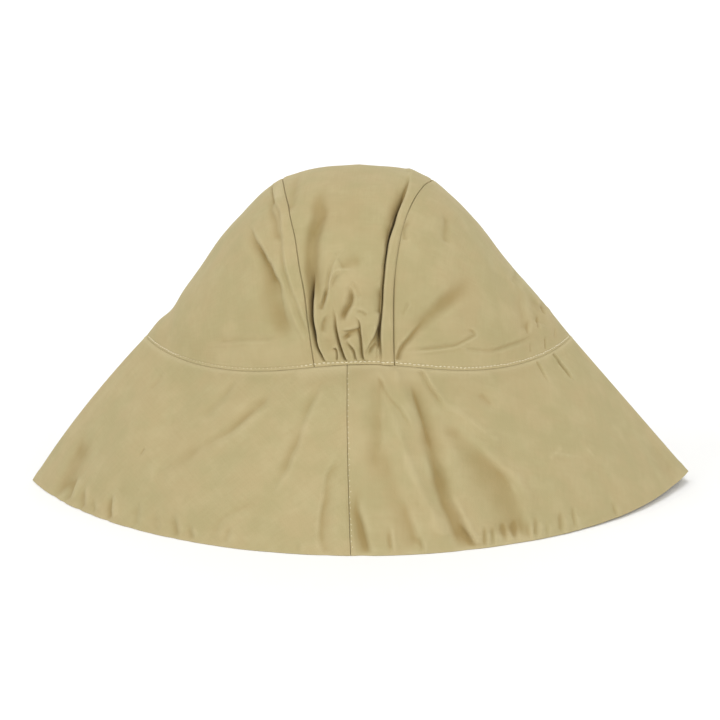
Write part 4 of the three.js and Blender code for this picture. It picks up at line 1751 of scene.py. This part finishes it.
@dataclass(frozen=True)
class ShaderGraph:
    """A material's nodes."""

    material: bpy.types.Material

    @classmethod
    def for_material(cls, name: str) -> "ShaderGraph":
        """A graph with no nodes, for a new material.

        Args:
            name: the material's name.

        Returns:
            The graph.
        """
        material = bpy.data.materials.new(name)
        material.use_nodes = True
        material.node_tree.nodes.clear()
        return cls(material)

    def node(
        self,
        kind: str,
        settings: dict[str, object] | None = None,
        sockets: dict[str | int, object] | None = None,
    ) -> bpy.types.Node:
        """Adds a node.

        Args:
            kind: the node's type.
            settings: its properties, set before its sockets.
            sockets: a value or a link for each input that has one, by name or number.

        Returns:
            The node.
        """
        made = self.material.node_tree.nodes.new(kind)
        for key, value in (settings or {}).items():
            setattr(made, key, value)
        for key, value in (sockets or {}).items():
            source = value.socket if isinstance(value, Term) else value
            if isinstance(source, Socket):
                self.material.node_tree.links.new(source, made.inputs[key])
            else:
                made.inputs[key].default_value = source
        return made

    def math(self, operation: str, *values: Term | float, clamp: bool = False) -> Term:
        """A Math node's result."""
        settings = {"operation": operation, "use_clamp": clamp}
        return Term(self, self.node("ShaderNodeMath", settings, dict(enumerate(values))).outputs[0])

    def vector(self, operation: str, *values: Socket | tuple[float, float, float]) -> Socket:
        """A Vector Math node's result."""
        made = self.node("ShaderNodeVectorMath", {"operation": operation}, dict(enumerate(values)))
        return made.outputs[0]

    def noise(self, place: Socket, scale: float, detail: float = 2.0, rough: float = 0.5) -> Term:
        """Soft noise from 0 to 1 at a place."""
        sockets = {"Vector": place, "Scale": scale, "Detail": detail, "Roughness": rough}
        return Term(self, self.node("ShaderNodeTexNoise", sockets=sockets).outputs["Fac"])

    def tinted(self, mark: Term, low: float, high: float, mix_in: float) -> Term:
        """A soft step from 0, where the mark is low, to a share of the second colour, where it is high.

        Args:
            mark: the number that is read.
            low: where the dye starts.
            high: where it is full.
            mix_in: its full share.

        Returns:
            The share.
        """
        sockets = {"Value": mark, "From Min": low, "From Max": high, "To Max": mix_in}
        made = self.node("ShaderNodeMapRange", {"interpolation_type": "SMOOTHSTEP"}, sockets)
        return Term(self, made.outputs["Result"])

    def mixed(self, share: Term, tone: Socket | Screen, mix_in: Screen) -> Socket:
        """A tone with a share of a second colour mixed in.

        Args:
            share: how much of the dye.
            tone: the first colour.
            mix_in: the second colour.

        Returns:
            The mixed colour.
        """
        first = tone if isinstance(tone, Socket) else from_screen(*tone)
        sockets = {"Factor": share, 6: first, 7: from_screen(*mix_in)}
        return self.node("ShaderNodeMix", {"data_type": "RGBA"}, sockets).outputs[2]

    def attribute(self, name: str) -> Term:
        """A number stored on the mesh."""
        return Term(self, self.node("ShaderNodeAttribute", {"attribute_name": name}).outputs["Fac"])

    def place(self) -> Socket:
        """Where on the object the material is read."""
        return self.node("ShaderNodeTexCoord").outputs["Object"]

    def bump(self, height: Term, strength: float, distance: float) -> Socket:
        """A normal that is tilted by a height."""
        sockets = {"Strength": strength, "Distance": distance, "Height": height}
        return self.node("ShaderNodeBump", sockets=sockets).outputs[0]

    def surface(self, sockets: dict[str, object]) -> bpy.types.Material:
        """Ends the graph in a principled surface with these inputs.

        Args:
            sockets: a value or a link for each input that has one.

        Returns:
            The material.
        """
        shader = self.node("ShaderNodeBsdfPrincipled", sockets=sockets)
        self.node("ShaderNodeOutputMaterial", sockets={"Surface": shader.outputs[0]})
        return self.material


@dataclass(frozen=True)
class WashedCotton:
    """A matte, garment-washed cotton in plain weave.

    Scales are in waves to the metre. A relief is a part's share of the bump. A tint says where a mark starts
    to show, where it shows in full, and how much of its colour it then takes.
    """

    name: str
    cool: Screen = (168, 156, 114)
    warm: Screen = (174, 158, 117)
    # Pale colour for faded patches and rubbed cloth, and for painted light on raised cloth, beside the brim
    # seam and at pale marks.
    worn_and_lit: Screen = (192, 179, 140)
    # Painted shade colour for folds, creases and the weave's gaps; thick slubs also darken towards it.
    deep: Screen = (137, 113, 60)
    # Painted shadow colour deep in the folds.
    pit: Screen = (90, 64, 16)
    sheen_tint: Screen = (236, 228, 200)
    thread_pitch: float = 0.52
    thread_wander: float = 1.2
    thread_wander_scale: float = 90.0
    slub_scale: tuple[float, float] = (60.0, 1500.0)
    fuzz_scale: float = 900.0
    fuzz_detail: float = 3.0
    rough_scale: float = 120.0
    blotch_scale: float = 42.0
    fade_scale: float = 70.0
    cloud_detail: float = 5.0
    cloud_rough: float = 0.65
    weave_relief: float = 0.6
    slub_relief: float = 0.5
    fuzz_relief: float = 0.4
    bump_strength: float = 0.35
    bump_depth: float = 0.12
    blotch_tint: tuple[float, float, float] = (0.36, 0.64, 1.0)
    fade_tint: tuple[float, float, float] = (0.42, 0.7, 0.2)
    # Raised cloth takes the crest tint, partly wear and partly painted highlight; the wear share adds the
    # painted light and rim wear of the last mark.
    crest_wear_and_highlight_tint: tuple[float, float, float] = (0.03, 0.4, 0.25)
    wear_and_light_share: float = 0.4
    # The fold, crease and pit tints are painted shade.
    fold_shade_tint: tuple[float, float, float] = (0.2, 2.6, 0.46)
    crease_shade_tint: tuple[float, float, float] = (0.04, 0.6, 0.22)
    pit_shadow_tint: tuple[float, float, float] = (3.2, 6.5, 0.6)
    # Painted shade in the gaps between the weave's threads.
    weave_gap_shade: float = 0.1
    slub_shade: float = 0.35
    roughness: float = 0.8
    rough_span: float = 0.08
    rough_weave: float = 0.03
    specular: float = 0.25
    sheen: float = 0.1
    sheen_roughness: float = 0.55

    def material(self) -> bpy.types.Material:
        """Builds the material.

        Returns:
            The material.
        """
        graph = ShaderGraph.for_material(self.name)
        place = graph.place()
        grain = graph.node("ShaderNodeUVMap", {"uv_map": "Grain"}).outputs["UV"]
        weave = self.weave(graph, grain)
        slubs = self.slubs(graph, grain)
        fuzz = graph.noise(place, self.fuzz_scale, self.fuzz_detail)
        height = weave * self.weave_relief + slubs * self.slub_relief + fuzz * self.fuzz_relief
        rough = self.roughness + graph.noise(place, self.rough_scale) * self.rough_span
        return graph.surface(
            {
                "Base Color": self.colour(graph, place, weave, slubs),
                "Roughness": rough + (1.0 - weave) * self.rough_weave,
                "Normal": graph.bump(height, self.bump_strength, self.bump_depth * MM),
                "Specular IOR Level": self.specular,
                "Sheen Weight": self.sheen,
                "Sheen Roughness": self.sheen_roughness,
                "Sheen Tint": from_screen(*self.sheen_tint),
            }
        )

    def weave(self, graph: ShaderGraph, grain: Socket) -> Term:
        """The height of the weave's threads, from 0 to 1.

        Args:
            graph: the material's nodes.
            grain: the place on the flat cloth.

        Returns:
            The height.
        """
        sockets = {"Vector": grain, "Scale": self.thread_wander_scale, "Detail": 1.0}
        wander = graph.node("ShaderNodeTexNoise", sockets=sockets).outputs["Color"]
        reach = self.thread_wander * MM
        moved = graph.vector("ADD", grain, graph.vector("MULTIPLY", wander, (reach, reach, 0.0)))
        split = graph.node("ShaderNodeSeparateXYZ", sockets={0: moved})
        per_metre = math.pi / (self.thread_pitch * MM)
        warp, weft = ((Term(graph, split.outputs[axis]) * per_metre).sine() for axis in (0, 1))
        return warp * weft * 0.5 + 0.5

    def slubs(self, graph: ShaderGraph, grain: Socket) -> Term:
        """Uneven threads, which run along both ways of the cloth.

        Args:
            graph: the material's nodes.
            grain: the place on the flat cloth.

        Returns:
            How thick the threads are, from 0 to 1.
        """
        long, fine = self.slub_scale
        scales = ((long, fine, 1.0), (fine, long, 1.0))
        along, across = (graph.noise(graph.vector("MULTIPLY", grain, scale), 1.0) for scale in scales)
        return along * 0.5 + across * 0.5

    def colour(self, graph: ShaderGraph, place: Socket, weave: Term, slubs: Term) -> Socket:
        """The cloth's colour: two washed tones, threads with painted shade in their gaps, raised cloth
        lighter as wear and painted highlight, painted light beside the brim seam, and painted shade in folds
        and creases.

        Args:
            graph: the material's nodes.
            place: where on the object it is read.
            weave: the threads' height.
            slubs: how uneven the threads are.

        Returns:
            The colour.
        """
        blotches = graph.noise(place, self.blotch_scale, self.cloud_detail, self.cloud_rough)
        fades = graph.noise(place, self.fade_scale, self.cloud_detail, self.cloud_rough)
        tone = graph.mixed(graph.tinted(blotches, *self.blotch_tint), self.cool, self.warm)
        tone = graph.mixed(graph.tinted(fades, *self.fade_tint), tone, self.worn_and_lit)
        # Raised cloth is lightened, partly as wear and partly as painted highlight; the wear mark adds
        # painted light beside the brim seam and at pale marks, and wear along the rim.
        crest, wear_and_light, fold, crease = (graph.attribute(mark) for mark in ("crest", "wear_and_light", "fold", "crease"))
        rubbed_and_lit = graph.tinted(crest, *self.crest_wear_and_highlight_tint) + wear_and_light * self.wear_and_light_share
        tone = graph.mixed(rubbed_and_lit.clamped(), tone, self.worn_and_lit)
        # Painted shade: folds and creases darken towards brown by their depth.
        painted_fold_shade = graph.tinted(fold, *self.fold_shade_tint) + graph.tinted(crease, *self.crease_shade_tint)
        tone = graph.mixed(painted_fold_shade.clamped(), tone, self.deep)
        # Painted shadow: the deepest folds darken towards a near-black brown.
        tone = graph.mixed(graph.tinted(fold, *self.pit_shadow_tint), tone, self.pit)
        # Painted shade in the weave's gaps, and thick slubs a little darker.
        threads = (1.0 - weave) * self.weave_gap_shade + (slubs - 0.5) * self.slub_shade
        return graph.mixed(threads.clamped(), tone, self.deep)


@dataclass(frozen=True)
class SewingThread:
    """Pale cotton thread with a twist."""

    name: str = "sewing_thread"
    pale: Screen = (234, 226, 198)
    dull: Screen = (204, 193, 156)
    twist_scale: float = 2600.0
    bump_strength: float = 0.4
    bump_depth: float = 0.08
    roughness: float = 0.6
    rough_span: float = 0.15
    sheen: float = 0.1

    def material(self) -> bpy.types.Material:
        """Builds the material.

        Returns:
            The material.
        """
        graph = ShaderGraph.for_material(self.name)
        twist = graph.noise(graph.place(), self.twist_scale)
        return graph.surface(
            {
                "Base Color": graph.mixed(twist, self.dull, self.pale),
                "Roughness": twist * self.rough_span + self.roughness,
                "Normal": graph.bump(twist, self.bump_strength, self.bump_depth * MM),
                "Sheen Weight": self.sheen,
            }
        )


@dataclass(frozen=True)
class StudioPaper:
    """Plain pale background paper."""

    name: str = "studio_paper"
    shade: Screen = (247, 247, 246)
    fibre: Screen = (225, 225, 223)
    fibre_scale: float = 30.0
    fibre_detail: float = 3.0
    fibre_share: float = 0.03
    roughness: float = 0.9

    def material(self) -> bpy.types.Material:
        """Builds the material.

        Returns:
            The material.
        """
        graph = ShaderGraph.for_material(self.name)
        fibres = graph.noise(graph.place(), self.fibre_scale, self.fibre_detail) * self.fibre_share
        colour = graph.mixed(fibres, self.shade, self.fibre)
        return graph.surface({"Base Color": colour, "Roughness": self.roughness})


# ---------------------------------------------------------------- the studio


@dataclass(frozen=True)
class SoftLight:
    """A square light: where it stands, its side, its power in watts, and its aim if that isn't the hat."""

    name: str
    place: tuple[float, float, float]
    size: float
    power: float
    aim: tuple[float, float, float] | None = None


def stand(name: str, data: bpy.types.ID, place: Vector, aim: Vector) -> bpy.types.Object:
    """A light or a camera at a place, turned to what it aims at.

    Args:
        name: the object's name.
        data: the light or the camera.
        place: where it stands.
        aim: the point that it is turned to.

    Returns:
        The object.
    """
    made = link(name, data)
    made.location = place
    made.rotation_euler = (aim - place).to_track_quat("-Z", "Y").to_euler()
    return made


@dataclass(frozen=True)
class Studio:
    """Floor, lights and camera, in metres."""

    form: HatForm
    aim_right: float = 0.0008
    aim_height: float = 0.0632
    elevation: float = 10.5
    distance: float = 1.05
    view_width: float = 0.3672
    sensor: float = 36.0
    floor_half: float = 4.0
    wall_start: float = 1.3
    wall_radius: float = 0.9
    wall_height: float = 2.5
    bend_steps: int = 25
    surround: float = 0.4
    # A key a little to the right above the camera, a wide fill on each side, and a light for the wall.
    soft_lights: tuple[SoftLight, ...] = (
        SoftLight("key", (0.42, -2.2, 1.25), size=1.3, power=24.0),
        SoftLight("left_fill", (-2.2, -1.1, 1.0), size=1.8, power=26.0),
        SoftLight("right_fill", (2.0, -1.3, 0.9), size=1.8, power=16.6),
        SoftLight("wall_light", (0.0, 0.7, 2.3), size=1.6, power=30.0, aim=(0.0, 2.2, 0.4)),
    )

    def build(self) -> None:
        """Sets up the whole studio."""
        self.floor()
        self.lights()
        self.camera()
        bpy.context.scene.view_settings.view_transform = "Standard"

    def target(self) -> Vector:
        """The point that the camera and the lights aim at."""
        x, y = (part * MM for part in self.form.centre)
        return Vector((x + self.aim_right, y, self.aim_height))

    def floor(self) -> None:
        """A floor that curves up into a wall behind the hat."""
        bend = [
            (self.wall_start + self.wall_radius * math.sin(a), self.wall_radius * (1 - math.cos(a)))
            for a in np.linspace(0.0, math.pi / 2, self.bend_steps)
        ]
        profile = [(-self.floor_half, 0.0), *bend, (bend[-1][0], self.wall_height)]
        points = [(x, y, z) for y, z in profile for x in (-self.floor_half, self.floor_half)]
        faces = [(2 * i, 2 * i + 1, 2 * i + 3, 2 * i + 2) for i in range(len(profile) - 1)]
        mesh = bpy.data.meshes.new("studio_floor")
        mesh.from_pydata(points, [], faces)
        mesh.shade_smooth()
        mesh.materials.append(StudioPaper().material())
        link("studio_floor", mesh)

    def lights(self) -> None:
        """The soft lights, and an even white surround."""
        for light in self.soft_lights:
            lamp = bpy.data.lights.new(light.name, "AREA")
            lamp.size = light.size
            lamp.energy = light.power
            stand(light.name, lamp, Vector(light.place), Vector(light.aim or self.target()))
        world = bpy.data.worlds.new("surround")
        world.use_nodes = True
        sky = world.node_tree.nodes["Background"].inputs
        sky["Color"].default_value = (1.0, 1.0, 1.0, 1.0)
        sky["Strength"].default_value = self.surround
        bpy.context.scene.world = world

    def camera(self) -> None:
        """The camera, square behind the hat and a little above it."""
        lens = bpy.data.cameras.new("camera")
        lens.sensor_width = self.sensor
        lens.lens = self.sensor * self.distance / self.view_width
        rise = math.radians(self.elevation)
        back = self.distance * Vector((0.0, -math.cos(rise), math.sin(rise)))
        bpy.context.scene.camera = stand("camera", lens, self.target() + back, self.target())


# ---------------------------------------------------------------- the hat


@dataclass
class RainHat:
    """The whole hat."""

    form: HatForm
    maker: ShellMaker = field(default_factory=ShellMaker)

    def build(self) -> None:
        """Builds and dresses every piece."""
        cloth = WashedCotton("washed_cotton").material()
        under = WashedCotton("facing_cotton", cool=(166, 153, 113), warm=(169, 151, 112)).material()
        thread = SewingThread().material()
        form, maker = self.form, self.maker
        centre = CentrePanel(form)
        left = SidePanel(
            form, "left_panel_cloth", LEFT_PANEL_FOLDS, side=Side.LEFT, pale_marks=LEFT_PANEL_PALE_MARKS
        )
        right = SidePanel(
            form, "right_panel_cloth", RIGHT_PANEL_FOLDS, side=Side.RIGHT, pale_marks=RIGHT_PANEL_PALE_MARKS
        )
        self.dress(centre.build(maker), cloth, "cloth", "crown_centre_panel")
        self.dress(left.build(maker), cloth, "cloth", "crown_side_left")
        self.dress(right.build(maker), cloth, "cloth", "crown_side_right")
        brim = BrimLayer(form, "brim_upper_cloth", inset=0.0, columns=1081, rows=79)
        self.dress(brim.build(maker), cloth, "cloth", "brim_cloth")
        facing = BrimLayer(form, "brim_under_cloth", inset=1.7, columns=541, rows=40)
        self.dress(facing.build(maker), under, "facing_cloth", "brim_facing")
        top_row = TopStitching("crown_topstitching", panels=(left, centre, right))
        self.dress(top_row.build(form), thread, "thread")
        join_row = JoinStitching(
            "back_join_stitching", stitch=2.6, gap=1.9, radius=0.1, rise=0.12, brim=brim
        )
        self.dress(join_row.build(form), thread, "thread")

    @staticmethod
    def dress(piece: bpy.types.Object, finish: bpy.types.Material, slot: str, *nodes: str) -> None:
        """Gives a piece its finish and ties it to the frame.

        Args:
            piece: the piece.
            finish: its material.
            slot: the record's material slot; not used.
            nodes: the frame's nodes that it stands for.
        """
        piece.data.materials.append(finish)
        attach(piece, BODY)
        if nodes:
            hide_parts(*nodes)
        LOG.info("%s: %d faces, for %s", piece.name, len(piece.data.polygons), ", ".join(nodes) or "detail")


def main() -> None:
    """Builds the hat and its studio."""
    logging.basicConfig(level=logging.INFO, format="%(name)s: %(message)s")
    form = HatForm.from_frame()
    RainHat(form).build()
    Studio(form).build()


if __name__ == "__main__":
    main()
